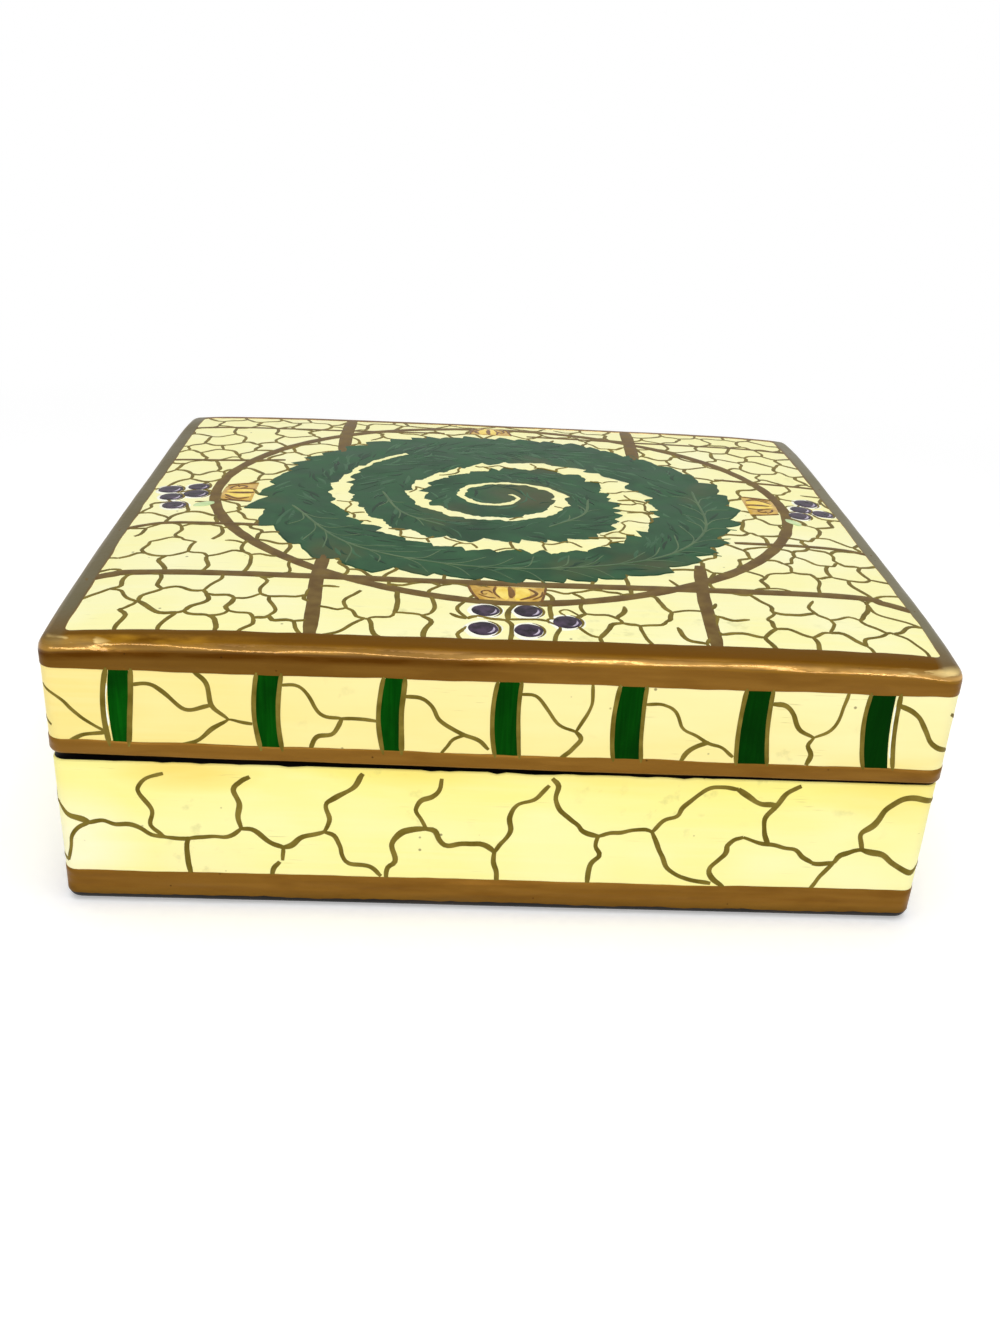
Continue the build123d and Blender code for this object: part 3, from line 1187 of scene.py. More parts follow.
def through(values, t):
    """A smooth curve through three values, at 0, 0.5 and 1."""
    a, b, c = values
    return a * (1 - t) * (1 - 2 * t) + 4 * b * t * (1 - t) + c * t * (2 * t - 1)


def draw_bar(bars, lines, middle, bar, loose, rng):
    """An upright green bar with a brown line down each edge, which may bow away from it."""
    edges, rims = ([], []), ([], [])
    for n, outward in ((0, -1), (1, 1)):
        for t in (k / BAR_STEPS for k in range(BAR_STEPS + 1)):
            z = BAR_TOP + (BAR_BOTTOM - BAR_TOP) * t
            s = middle + through([places[n] for places in bar], t)
            s += 0.10 * wave(s, z, 2, 5.0)
            edges[n].append(Vector((s, z)))
            rims[n].append(Vector((s + outward * through([away[n] for away in loose], t), z)))
    bars.band(on_lid_wall, *edges, GREEN_COAT, columns=5)
    for rim in rims:
        width = BAR_LINE * rng.uniform(0.9, 1.2)
        lines.stroke(on_lid_wall, rim, width, coat=DETAIL_COAT, seed=middle + rim[0].x)


def draw_panel(film, start, end, panel, rng):
    """The cracks of one panel, each inner point of them a little off its place."""
    for points in panel:
        line = [Vector((start + (end - start) * across, PANEL_LOW + (PANEL_HIGH - PANEL_LOW) * up))
                for across, up in points]
        for p in line[1:-1]:
            p += Vector((rng.uniform(-0.25, 0.25), rng.uniform(-0.2, 0.2)))
        film.stroke(on_lid_wall, waver(spline(line, FINE_STEP), 0.25, rng), 0.74 * rng.uniform(0.8, 1.25),
                    taper=(0.75, 0.75), rough=0.3)


# ---------------------------------------------------------------- the base's walls

# Cracks on the base's front wall: listed lines from one meeting place to the next
BASE_FRONT_CRACKS = (
    ((-75.4, 19.8), (-72.8, 17.8), (-70.0, 16.4)),
    ((-70.0, 16.4), (-71.8, 15.4), (-73.1, 13.4), (-73.5, 11.4), (-74.5, 8.4)),
    ((-70.0, 16.4), (-67.6, 17.0), (-65.4, 16.2), (-63.2, 16.2), (-61.5, 15.4), (-59.6, 14.2), (-57.0, 13.8)),
    ((-56.8, 26.6), (-59.6, 25.7), (-61.1, 24.0), (-61.1, 22.6), (-59.2, 19.2), (-59.5, 16.2), (-57.6, 14.1)),
    ((-57.0, 13.8), (-55.0, 13.6), (-53.2, 13.7)),
    ((-53.2, 13.7), (-53.7, 12.6), (-53.8, 9.8), (-53.3, 6.4)),
    ((-53.2, 13.7), (-51.0, 14.1), (-49.2, 14.4), (-47.2, 14.1), (-45.6, 14.8), (-44.2, 16.0)),
    ((-42.4, 26.4), (-44.0, 25.6), (-45.2, 23.8), (-44.2, 21.0), (-44.8, 18.6), (-44.2, 16.0)),
    ((-44.2, 16.0), (-42.4, 15.8), (-40.6, 14.5), (-39.0, 13.0), (-37.1, 12.3)),
    ((-37.1, 12.3), (-37.1, 11.0), (-37.3, 9.6)),
    ((-37.8, 9.3), (-38.8, 8.1), (-39.2, 6.4)),
    ((-37.1, 12.3), (-35.4, 12.9), (-33.6, 14.6), (-30.0, 15.8)),
    ((-23.4, 27.7), (-25.0, 24.8), (-28.7, 22.5), (-29.7, 21.2), (-29.1, 18.4), (-30.0, 15.8)),
    ((-30.0, 15.8), (-28.4, 15.0), (-27.4, 13.0), (-27.0, 11.0), (-25.8, 9.5), (-22.2, 8.7), (-20.2, 6.8)),
    ((-19.3, 6.4), (-18.9, 8.6), (-17.9, 10.0), (-18.2, 13.6), (-16.9, 16.0), (-15.0, 16.8), (-12.5, 17.0)),
    ((-10.1, 27.2), (-10.4, 25.0), (-11.7, 23.6), (-13.6, 22.6), (-14.5, 20.8), (-13.5, 18.9), (-12.5, 17.0)),
    ((-12.5, 17.0), (-11.0, 16.6), (-9.9, 14.6), (-8.6, 13.7), (-4.8, 14.2), (-2.6, 14.1), (-0.5, 12.6)),
    ((-0.5, 12.6), (-0.5, 10.4), (0.1, 8.4), (0.2, 6.2)),
    ((-0.5, 12.6), (0.3, 14.2), (2.1, 17.0), (1.9, 20.0), (3.0, 22.2), (6.2, 23.9), (8.2, 26.5)),
    ((8.6, 27.9), (9.8, 26.4), (9.5, 23.8), (10.4, 21.3), (13.4, 19.0), (14.6, 17.4), (17.4, 16.5)),
    ((17.4, 16.5), (17.1, 14.4), (17.9, 12.4), (16.4, 10.1), (16.2, 6.4)),
    ((17.4, 16.5), (19.3, 17.1), (21.6, 17.3), (24.0, 18.0), (25.6, 18.1), (26.7, 17.6)),
    ((26.7, 17.6), (28.4, 20.0), (30.6, 21.1), (31.7, 23.2), (35.2, 26.5), (37.8, 27.1), (40.6, 26.8)),
    ((40.6, 26.8), (42.8, 25.3), (45.0, 24.0), (47.5, 23.8)),
    ((51.4, 27.8), (49.3, 26.4), (48.1, 24.4), (46.1, 21.0), (46.2, 18.4), (47.4, 15.7)),
    ((26.7, 17.6), (28.0, 14.4), (29.2, 12.5), (30.3, 10.2), (32.2, 8.5), (35.1, 7.7), (38.2, 7.1)),
    ((40.6, 6.4), (38.3, 8.3), (37.8, 10.4), (40.1, 13.4), (40.2, 15.2), (41.2, 16.5), (42.8, 17.0)),
    ((42.8, 17.0), (45.0, 16.3), (47.4, 15.7), (50.6, 15.1), (52.4, 14.6), (53.9, 13.1), (55.8, 12.0)),
    ((55.8, 12.0), (57.6, 11.9), (59.6, 12.3)),
    ((59.6, 12.3), (57.8, 9.6), (56.2, 6.4)),
    ((59.6, 12.3), (60.5, 13.8), (62.2, 14.6), (64.1, 15.2)),
    ((64.1, 15.2), (63.4, 18.4), (65.4, 20.3), (66.5, 23.2), (68.8, 25.3), (71.6, 26.2), (75.4, 25.2)),
    ((64.1, 15.2), (66.0, 14.6), (68.3, 14.1), (70.2, 12.5), (72.2, 11.0), (74.0, 10.5), (75.2, 11.2)),
)
FRONT_CRACKS_RUN = (5.6, 28.1)     # heights between which they show
BASE_CELL = (17.0, 11.0)
BASE_CELLS = (6.6, 28.6)           # heights of the rows of cells on the other walls
BASE_CELLS_SHOW = (5.5, 28.0)
BASE_CLIP = (6.0, 27.8)
BASE_SPREAD = 14                   # the cells go this far on past the front corners
# Where cracks of the front meet its corners: first the right one, then the left
CORNER_MEETINGS = ((75.2, 25.2), (75.0, 11.2), (base.around - 75.2, 19.8), (base.around - 74.5, 8.4))


def make_base_crackle(brown):
    """Large cracks: listed one by one on the front, and in two rows of cells on the other walls."""
    rng = random.Random(23)
    film = Film()
    low, high = FRONT_CRACKS_RUN
    for points in BASE_FRONT_CRACKS:
        line = [p for p in waver(spline(points, FINE_STEP), 0.35, rng) if low < p.y < high]
        film.stroke(on_base_wall, line, rng.uniform(0.8, 1.2), coat=0.08, taper=(0.8, 0.8), rough=0.35)
    start = base.half_x + 0.6
    end = base.around - start
    low, high = BASE_CELLS
    seeds = lattice((start - BASE_SPREAD, low), (end + BASE_SPREAD, high), BASE_CELL, 0.22, rng)
    seeds += [Vector((p.x, 2 * low - p.y)) for p in seeds] + [Vector((p.x, 2 * high - p.y)) for p in seeds]

    def keep(p):
        return start < p.x < end and BASE_CELLS_SHOW[0] < p.y < BASE_CELLS_SHOW[1]

    edges = [clip_heights(a, b, *BASE_CLIP) for a, b in cell_edges(seeds, 40)]
    edges = [edge for edge in edges if edge and keep(edge[0]) and keep(edge[1])]
    meetings = [p for edge in edges for p in edge]
    for corner in map(Vector, CORNER_MEETINGS):
        nearest = min(meetings, key=lambda p: (p - corner).length)
        film.stroke(on_base_wall, crack_line(corner, nearest, rng, 0.6), 0.9, coat=0.08, taper=(1.0, 0.8))
    draw_crackle(film, on_base_wall, edges, keep, 0.90, 0.9, rng)
    film.finish("base_crackle", brown, "base")


def clip_heights(a, b, low, high):
    """The part of an edge between two heights."""
    if a.y > b.y:
        a, b = b, a
    if b.y <= low or a.y >= high or b.y - a.y < 1e-6 and not low < a.y < high:
        return None
    slope = (b - a) / max(b.y - a.y, 1e-6)
    start = a + slope * (low - a.y) if a.y < low else a
    end = b - slope * (b.y - high) if b.y > high else b
    return (start, end) if (end - start).length > 0.8 else None


# ---------------------------------------------------------------- materials

def screen(red, green, blue):
    """A colour given by its screen values, 0 to 255."""
    shares = [value / 255 for value in (red, green, blue)]
    linear = [s / 12.92 if s <= 0.04045 else ((s + 0.055) / 1.055) ** 2.4 for s in shares]
    return (*linear, 1.0)


class Nodes:
    """The node tree of a material or of the world, built up step by step."""

    def __init__(self, owner):
        owner.use_nodes = True
        self.tree = owner.node_tree
        self.tree.nodes.clear()

    def add(self, kind, inputs=None, **settings):
        node = self.tree.nodes.new(kind)
        for name, value in settings.items():
            setattr(node, name, value)
        for name, value in (inputs or {}).items():
            if isinstance(value, bpy.types.NodeSocket):
                self.tree.links.new(value, node.inputs[name])
            else:
                node.inputs[name].default_value = value
        return node

    def math(self, operation, a, b=0.0):
        return self.add("ShaderNodeMath", {0: a, 1: b}, operation=operation).outputs[0]

    def times(self, a, b):
        return self.math("MULTIPLY", a, b)

    def span(self, value, low, high, to_low=0.0, to_high=1.0):
        """Stretches low..high to to_low..to_high, and stops there."""
        node = self.add("ShaderNodeMapRange", {"Value": value, "From Min": low, "From Max": high,
                                               "To Min": to_low, "To Max": to_high})
        return node.outputs["Result"]

    def between(self, value, rise_from, rise_to, fall_from, fall_to):
        """0, rising to 1 between the first two values and falling to 0 again between the last two."""
        return self.times(self.span(value, rise_from, rise_to), self.span(value, fall_to, fall_from))

    def seen_ray(self):
        """1 for the rays that show the surroundings: straight to the camera, mirrored or through glass."""
        rays = self.add("ShaderNodeLightPath").outputs
        shown = self.math("MAXIMUM", rays["Is Camera Ray"], rays["Is Glossy Ray"])
        return self.math("MAXIMUM", shown, rays["Is Transmission Ray"])


class Paint(Nodes):
    """A material whose pattern follows the places on the object."""

    def __init__(self, name):
        self.material = bpy.data.materials.new(name)
        super().__init__(self.material)
        self.place = self.add("ShaderNodeTexCoord").outputs["Object"]

    def noise(self, widths, detail=3.0, seed=0.0):
        """Noise from 0 to 1 whose features are this wide along X, Y and Z, in millimetres."""
        scale = [1 / (w * MM) for w in widths]
        moved = self.add("ShaderNodeMapping", {"Vector": self.place, "Scale": scale,
                                               "Location": (seed, seed * 1.7, seed * 0.6)})
        texture = self.add("ShaderNodeTexNoise", {"Vector": moved.outputs[0], "Scale": 1.0, "Detail": detail})
        return texture.outputs["Fac"]

    def facing(self, axis):
        """How far the surface faces along an axis, bumps left out."""
        normal = self.add("ShaderNodeNewGeometry").outputs["Normal"]
        return self.add("ShaderNodeSeparateXYZ", {"Vector": normal}).outputs[axis]

    def streaks(self, along, across, detail, seed=0.0):
        """Brush streaks that run level round the walls and from left to right over the top."""
        sideways = self.math("GREATER_THAN", self.math("ABSOLUTE", self.facing("X")), 0.7)
        level = self.noise((along, across, across), detail, seed)
        turned = self.noise((across, along, across), detail, seed)
        return self.mix_value(sideways, level, turned)

    def mix_value(self, share, a, b):
        return self.add("ShaderNodeMix", {0: share, 2: a, 3: b}, data_type="FLOAT").outputs[0]

    def mix(self, share, a, b):
        return self.add("ShaderNodeMix", {0: share, 6: a, 7: b}, data_type="RGBA").outputs[2]

    def along(self, axis):
        """The place along X, Y or Z, in millimetres."""
        parts = self.add("ShaderNodeSeparateXYZ", {"Vector": self.place})
        return self.math("DIVIDE", parts.outputs[axis], MM)

    def near(self, centre, reach):
        """1 at a place, falling to 0 at its edge. Both in millimetres along X, Y and Z."""
        scale = [1 / (r * MM) for r in reach]
        shift = [-c / r for c, r in zip(centre, reach)]
        moved = self.add("ShaderNodeMapping", {"Vector": self.place, "Scale": scale, "Location": shift})
        away = self.add("ShaderNodeVectorMath", {0: moved.outputs[0]}, operation="LENGTH").outputs["Value"]
        return self.span(away, 1.0, 0.25)

    def specks(self, width, share):
        """1 in a few small dots, 0 elsewhere. width is the spacing of the places where a dot may be."""
        texture = self.add("ShaderNodeTexVoronoi", {"Vector": self.place, "Scale": 1 / (width * MM),
                                                    "Randomness": 1.0})
        near = self.span(texture.outputs["Distance"], 0.05, 0.10, 1.0, 0.0)
        chosen = self.add("ShaderNodeSeparateColor", {"Color": texture.outputs["Color"]}).outputs[0]
        return self.times(near, self.math("LESS_THAN", chosen, share))

    def bump(self, value, depth, strength):
        """A bump of that depth in millimetres."""
        node = self.add("ShaderNodeBump", {"Height": value, "Strength": strength, "Distance": depth * MM})
        return node.outputs["Normal"]

    def finish(self, colour, roughness, normal, **sockets):
        """Ends in a Principled shader. Other sockets are named with _ for a space."""
        inputs = {"Base Color": colour, "Roughness": roughness, "Normal": normal, "Coat Normal": normal}
        inputs.update({name.replace("_", " "): value for name, value in sockets.items()})
        shader = self.add("ShaderNodeBsdfPrincipled", inputs)
        self.add("ShaderNodeOutputMaterial", {"Surface": shader.outputs[0]})
        return self.material

    def finish_brushed(self, colour, marks, roughness, depth, gloss):
        """Ends in a paint whose brush marks stand up and are rougher: least and most roughness, and depth."""
        return self.finish(colour, self.span(marks, 0.3, 0.7, *roughness), self.bump(marks, depth, 0.5),
                           Specular_IOR_Level=gloss)


def cream_paint(name, ground, pale, stained, heights, right=None, spots=()):
    """Yellowed cream ground: streaks, paler patches, a stain that grows from one height to another, specks.

    right is the tone towards the right end. spots are (place, reach, colour, strength) of single stains.
    """
    p = Paint(name)
    streak = p.streaks(34.0, 1.1, 4.0)
    patch = p.noise((26, 26, 16), 2.0, 3.0)
    if right:
        ground = p.mix(p.span(p.along("X"), -70.0, 75.0), ground, right)
    colour = p.mix(p.span(patch, 0.45, 0.75, 0.0, 0.8), ground, pale)
    colour = p.mix(p.span(streak, 0.42, 0.70, 0.0, 0.3), colour, pale)
    cloud = p.span(p.noise((22, 22, 5), 3.0, 8.0), 0.30, 0.66, 0.35, 1.0)
    colour = p.mix(p.times(p.span(p.along("Z"), *heights), cloud), colour, stained)
    for place, reach, tint, strength in spots:
        colour = p.mix(p.times(p.near(place, reach), p.span(cloud, 0.35, 1.0, 0.6 * strength, strength)),
                       colour, tint)
    smudge = p.times(p.span(p.noise((3.0, 3.0, 3.0), 5.0, 5.0), 0.60, 0.78),
                     p.span(p.noise((20, 20, 20), 1.0, 12.0), 0.55, 0.68))
    colour = p.mix(p.times(smudge, 0.35), colour, screen(150, 150, 85))
    scratch = p.times(p.span(p.streaks(7.0, 0.35, 2.0, 21.0), 0.66, 0.74),
                      p.span(p.noise((14, 14, 9), 2.0, 17.0), 0.52, 0.62))
    colour = p.mix(p.times(scratch, 0.40), colour, screen(176, 166, 96))
    colour = p.mix(p.times(p.specks(3.4, 0.20), 0.75), colour, screen(95, 80, 35))
    relief = p.math("ADD", p.times(streak, 0.6), p.times(p.noise((1.6, 1.6, 1.6)), 0.4))
    return p.finish(colour, p.span(streak, 0.3, 0.7, 0.32, 0.44), p.bump(relief, 0.10, 0.55),
                    Specular_IOR_Level=0.15)


# Places on the lid's rolled edge with painted highlights in bright dabs: middle, reach and strength
HIGHLIGHT_DABS = (
    ((-72.4, -65.6, 50.4), (3.2, 5.0, 0.75), 0.9),
    ((-68.0, -65.6, 50.5), (5.0, 5.0, 0.85), 1.0),
    ((66.0, -65.4, 50.15), (7.0, 5.0, 0.65), 0.8),
    ((72.8, -65.4, 50.1), (3.0, 5.0, 0.90), 1.0),
)


def lid_upward(p):
    """How far the lid's top and rolled edge face up. It is 0 everywhere lower."""
    return p.times(p.facing("Z"), p.span(p.along("Z"), 47.0, 48.0))


def under_roll(p, upward):
    """The top of the walls, close under the rolled edge, which follows the crown."""
    falls = [p.math("POWER", p.math("ABSOLUTE", p.math("DIVIDE", p.along(axis), half)), CROWN_POWER)
             for axis, half in (("X", lid.half_x), ("Y", lid.half_y))]
    height = p.math("ADD", p.along("Z"), p.times(p.math("ADD", *falls), CROWN_FALL))
    roll_start = lid_top - LID_ROLL
    return p.times(p.span(height, roll_start - 1.25, roll_start - 0.35), p.span(upward, 0.12, 0.04))


def gold_roll_shade_and_highlights(p, colour, upward, mottle):
    """The rolled edge, toned by the way it faces: painted dark reflection at the top, a painted golden sheen
    half-way, a painted shade line below and a painted highlight band.
    """
    # golden tone of the painted sheen, warmer at the left end
    sheen_gold = p.mix(p.span(p.along("X"), -42.0, -56.0), screen(142, 100, 20), screen(160, 115, 26))
    sheen_at_left = p.times(p.span(p.along("X"), -34.0, -50.0), mottle)
    # painted reflection: the upper roll and the flat strip turn dark brown, mottled golden at the left end
    colour = p.mix(p.span(upward, 0.52, 0.72), colour, p.mix(sheen_at_left, screen(105, 67, 0), sheen_gold))
    # painted sheen: a golden band round the middle of the roll
    lower = p.times(p.between(upward, 0.06, 0.16, 0.54, 0.74), p.span(mottle, 0.0, 1.0, 0.3, 0.9))
    colour = p.mix(lower, colour, sheen_gold)
    # painted shade: a dark line low on the roll and just under it, on the left half
    shade_line = p.math("ADD", p.between(upward, 0.02, 0.10, 0.16, 0.30), under_roll(p, upward))
    shade_line = p.times(shade_line, p.span(mottle, 0.0, 1.0, 0.6, 1.0))
    shade_line = p.times(shade_line, p.span(p.noise((34, 34, 60), 2.0, 31.0), 0.30, 0.52, 0.4, 1.0))
    shade_line = p.times(shade_line, p.span(p.along("X"), 18.0, -12.0, 0.0, 1.0))
    colour = p.mix(shade_line, colour, screen(86, 49, 0))
    # painted dark reflection on the flat strip of the top
    colour = p.mix(p.span(upward, 0.88, 0.96, 0.0, 0.95), colour, screen(104, 68, 0))
    # painted highlight: a pale band along the middle of the roll, brighter to the right
    highlight_band = p.between(upward, 0.22, 0.32, 0.42, 0.56)
    highlight_band = p.times(highlight_band, p.span(p.along("X"), -20.0, 15.0, 0.3, 0.95))
    highlight_band = p.times(highlight_band, p.span(p.noise((9, 9, 9), 4.0, 52.0), 0.34, 0.60, 0.2, 1.0))
    return p.mix(highlight_band, colour, screen(212, 164, 88))


def gold_highlights_and_sides(p, colour, upward):
    """Painted highlights in bright dabs on the rolled edge at the front corners, and the greyer gold along
    the lid's two sides.
    """
    dabs = p.span(p.noise((5.5, 5.5, 1.1), 3.0, 71.0), 0.47, 0.54)
    for place, reach, strength in HIGHLIGHT_DABS:
        # painted highlight: bright dabs near the front corners
        highlight = p.times(p.near(place, reach), p.span(dabs, 0.0, 1.0, 0.12 * strength, strength))
        colour = p.mix(highlight, colour, screen(255, 222, 146))
    sides = p.times(p.span(p.math("ABSOLUTE", p.along("X")), 70.6, 71.8), p.span(upward, 0.3, 0.8))
    sides = p.times(sides, p.span(p.along("Y"), -63.0, -54.0, 0.40, 0.85))
    grey = p.mix(p.span(p.along("X"), -10.0, 10.0), screen(103, 98, 70), screen(120, 117, 92))
    return p.mix(sides, colour, grey)


def gold_paint(name, ground, light, dark):
    """Bronze-gold paint under varnish, in the borders at the lid's edge, the seam and the foot."""
    p = Paint(name)
    upward = lid_upward(p)
    streak = p.streaks(22.0, 1.6, 2.0, 2.0)
    patch = p.noise((12, 12, 3), 3.0, 6.0)
    mottle = p.span(p.noise((6, 6, 1.2), 5.0, 16.0), 0.36, 0.64)
    colour = p.mix(p.span(streak, 0.34, 0.70, 0.0, 0.6), ground, light)
    colour = p.mix(p.span(patch, 0.52, 0.72, 0.0, 0.4), colour, dark)
    band = p.times(p.span(p.along("X"), 20.0, -40.0, 0.0, 0.55), p.span(p.along("Z"), 44.0, 45.5))
    colour = p.mix(band, colour, screen(98, 66, 16))
    colour = gold_roll_shade_and_highlights(p, colour, upward, mottle)
    colour = gold_highlights_and_sides(p, colour, upward)
    # painted shade: the gold of the foot darkens towards the table, low on its rolled edge
    colour = p.mix(p.times(p.span(p.along("Z"), 3.4, 1.2), 0.6), colour, screen(86, 64, 18))
    colour = p.mix(p.times(p.specks(2.2, 0.16), 0.75), colour, screen(52, 30, 4))
    dents = p.noise((30.0, 30.0, 3.4), 1.0, 61.0)
    pits = p.noise((1.4, 1.4, 0.9), 2.0)
    relief = p.math("ADD", p.times(dents, 0.96), p.times(pits, 0.04))
    on_roll = p.between(upward, 0.10, 0.22, 0.54, 0.66)
    rough, polished = p.span(patch, 0.3, 0.7, 0.30, 0.42), p.span(mottle, 0.0, 1.0, 0.12, 0.24)
    roughness = p.mix_value(on_roll, rough, polished)
    return p.finish(colour, roughness, p.bump(relief, 1.6, 0.75), Specular_IOR_Level=0.05,
                    Metallic=p.span(upward, 0.50, 0.80, 0.42, 0.0),
                    Coat_Weight=p.times(on_roll, 0.35), Coat_Roughness=0.08)


def line_paint(name, ground, light):
    """The thin olive-brown paint of the drawn lines: it pools dark and runs out light."""
    p = Paint(name)
    pool = p.noise((3.2, 3.2, 3.2), 3.0, 1.0)
    colour = p.mix(p.span(pool, 0.36, 0.66), ground, light)
    return p.finish_brushed(colour, pool, (0.34, 0.46), 0.03, 0.05)


def spot_paint(name, ground, light, width, gloss=0.1):
    """Small dabs of one colour, lighter where the brush lifted."""
    p = Paint(name)
    dab = p.noise((width, width, width), 3.0, 2.0)
    colour = p.mix(p.span(dab, 0.38, 0.64), ground, light)
    return p.finish_brushed(colour, dab, (0.26, 0.38), 0.05, gloss)


def green_paint(name, ground, light, dark, worn, grain, gloss, worn_reach=0, darker_right=False):
    """Dense green with brush marks. worn is the tint where the brown underpaint comes through."""
    p = Paint(name)
    marks = p.noise(grain, 4.0, 4.0)
    patch = p.noise((9, 9, 9), 3.0, 9.0)
    colour = p.mix(p.span(marks, 0.38, 0.68), ground, light)
    colour = p.mix(p.span(patch, 0.46, 0.72, 0.0, 0.7), colour, dark)
    if darker_right:
        colour = p.mix(p.span(p.along("X"), -60.0, 70.0, 0.0, 0.9), colour, dark)
    thin = p.span(p.noise((16, 16, 16), 2.0, 15.0), 0.58, 0.74, 0.0, 0.45)
    if worn_reach:
        centre = [(GARLAND_CENTRE.x + 6) * MM, (GARLAND_CENTRE.y + 1) * MM, 0]
        level = p.add("ShaderNodeVectorMath", {0: p.place, 1: (1, 1, 0)}, operation="MULTIPLY").outputs[0]
        away = p.add("ShaderNodeVectorMath", {0: level, 1: centre}, operation="DISTANCE").outputs["Value"]
        inner = p.span(away, worn_reach * MM, 0.5 * worn_reach * MM, 0.0, 0.55)
        thin = p.math("MAXIMUM", thin, p.times(inner, p.span(patch, 0.35, 0.55, 0.5, 1.0)))
    return p.finish_brushed(p.mix(thin, colour, worn), marks, (0.28, 0.40), 0.06, gloss)


def black_lacquer(name):
    """Brushed black lacquer of the inside and the underside, dusty and worn to brown in places."""
    p = Paint(name)
    streak = p.streaks(30.0, 1.3, 4.0, 5.0)
    patch = p.noise((22, 22, 22), 3.0, 7.0)
    colour = p.mix(p.span(streak, 0.40, 0.72), screen(14, 12, 11), screen(34, 30, 26))
    colour = p.mix(p.span(patch, 0.55, 0.78, 0.0, 0.6), colour, screen(58, 42, 28))
    return p.finish_brushed(colour, streak, (0.32, 0.48), 0.10, 0.15)


# ---------------------------------------------------------------- stage, light and camera

IMAGE_WIDTH = 1000
SENSOR_WIDTH = 36.0
FOCAL_LENGTH_PIXELS = 1269.7
CAMERA_TARGET = (2.0, 0.0, 16.2)
CAMERA_DISTANCE = 278.5
CAMERA_ELEVATION = 26.455
CAMERA_AZIMUTH = -2.933
CAMERA_ROLL = 3.246

WORLD_LEVEL = 0.33                # what lights the object; the background itself is white
FLOOR_HALF = 3.0                  # metres
FLOOR_GLOW = 0.28
FADE_FROM, FADE_TO = 0.16, 0.34   # metres from the middle: where the floor turns into plain white


def make_camera():
    elevation, azimuth, roll = map(math.radians, (CAMERA_ELEVATION, CAMERA_AZIMUTH, CAMERA_ROLL))
    back = Vector((math.sin(azimuth) * math.cos(elevation), -math.cos(azimuth) * math.cos(elevation),
                   math.sin(elevation)))
    right = (-back).cross(Vector((0, 0, 1))).normalized()
    up = right.cross(-back)
    axis_x = right * math.cos(roll) + up * math.sin(roll)
    axis_y = up * math.cos(roll) - right * math.sin(roll)
    data = bpy.data.cameras.new("camera")
    data.sensor_fit = "HORIZONTAL"
    data.sensor_width = SENSOR_WIDTH
    data.lens = SENSOR_WIDTH * FOCAL_LENGTH_PIXELS / IMAGE_WIDTH
    data.clip_start = 0.01
    camera = bpy.data.objects.new("camera", data)
    place = (Vector(CAMERA_TARGET) + back * CAMERA_DISTANCE) * MM
    camera.matrix_world = Matrix.Translation(place) @ Matrix((axis_x, axis_y, back)).transposed().to_4x4()
    bpy.context.scene.collection.objects.link(camera)
    bpy.context.scene.camera = camera


def make_floor():
    """A plain pale floor that turns into the white background away from the box."""
    mesh = bpy.data.meshes.new("floor")
    corners = [(x * FLOOR_HALF, y * FLOOR_HALF, 0) for x, y in ((-1, -1), (1, -1), (1, 1), (-1, 1))]
    mesh.from_pydata(corners, [], [(0, 1, 2, 3)])
    floor = bpy.data.objects.new("floor", mesh)
    bpy.context.scene.collection.objects.link(floor)
    p = Paint("white_cloth")
    weave = p.noise((1.5, 1.5, 1.5), 2.0)
    cloth = p.mix(p.span(weave, 0.3, 0.7), screen(243, 243, 243), screen(250, 250, 250))
    diffuse = p.add("ShaderNodeBsdfDiffuse", {"Color": cloth})
    glow = p.add("ShaderNodeEmission", {"Strength": FLOOR_GLOW})
    lit = p.add("ShaderNodeAddShader", {0: diffuse.outputs[0], 1: glow.outputs[0]})
    white = p.add("ShaderNodeEmission", {"Strength": 1.0})
    away = p.add("ShaderNodeVectorMath", {0: p.place}, operation="LENGTH").outputs["Value"]
    share = p.times(p.span(away, FADE_FROM, FADE_TO), p.seen_ray())
    shown = p.add("ShaderNodeMixShader", {0: share, 1: lit.outputs[0], 2: white.outputs[0]})
    p.add("ShaderNodeOutputMaterial", {"Surface": shown.outputs[0]})
    mesh.materials.append(p.material)


def make_world():
    """White where it is seen, straight or mirrored, and a softer light on everything else."""
    world = bpy.data.worlds.new("studio")
    bpy.context.scene.world = world
    nodes = Nodes(world)
    level = nodes.span(nodes.seen_ray(), 0.0, 1.0, WORLD_LEVEL, 1.0)
    background = nodes.add("ShaderNodeBackground", {"Strength": level, "Color": (1, 1, 1, 1)})
    nodes.add("ShaderNodeOutputWorld", {"Surface": background.outputs[0]})


def make_lamp(name, place, aim, size, watts):
    """A soft rectangular lamp that looks at a point. Metres."""
    data = bpy.data.lights.new(name, "AREA")
    data.shape = "RECTANGLE"
    data.size, data.size_y = size
    data.energy = watts
    lamp = bpy.data.objects.new(name, data)
    facing = (Vector(aim) - Vector(place)).to_track_quat("-Z", "Y").to_matrix()
    lamp.matrix_world = Matrix.Translation(place) @ facing.to_4x4()
    bpy.context.scene.collection.objects.link(lamp)


def make_lights():
    make_world()
    make_lamp("overhead", (0.02, -0.05, 0.62), (0, 0, 0.03), (0.7, 0.7), 2.8)
    make_lamp("front", (-0.05, -0.95, 0.33), (0, 0, 0.05), (1.2, 0.10), 3.05)


# ---------------------------------------------------------------- the box

UNDER_RIM = screen(250, 226, 112)
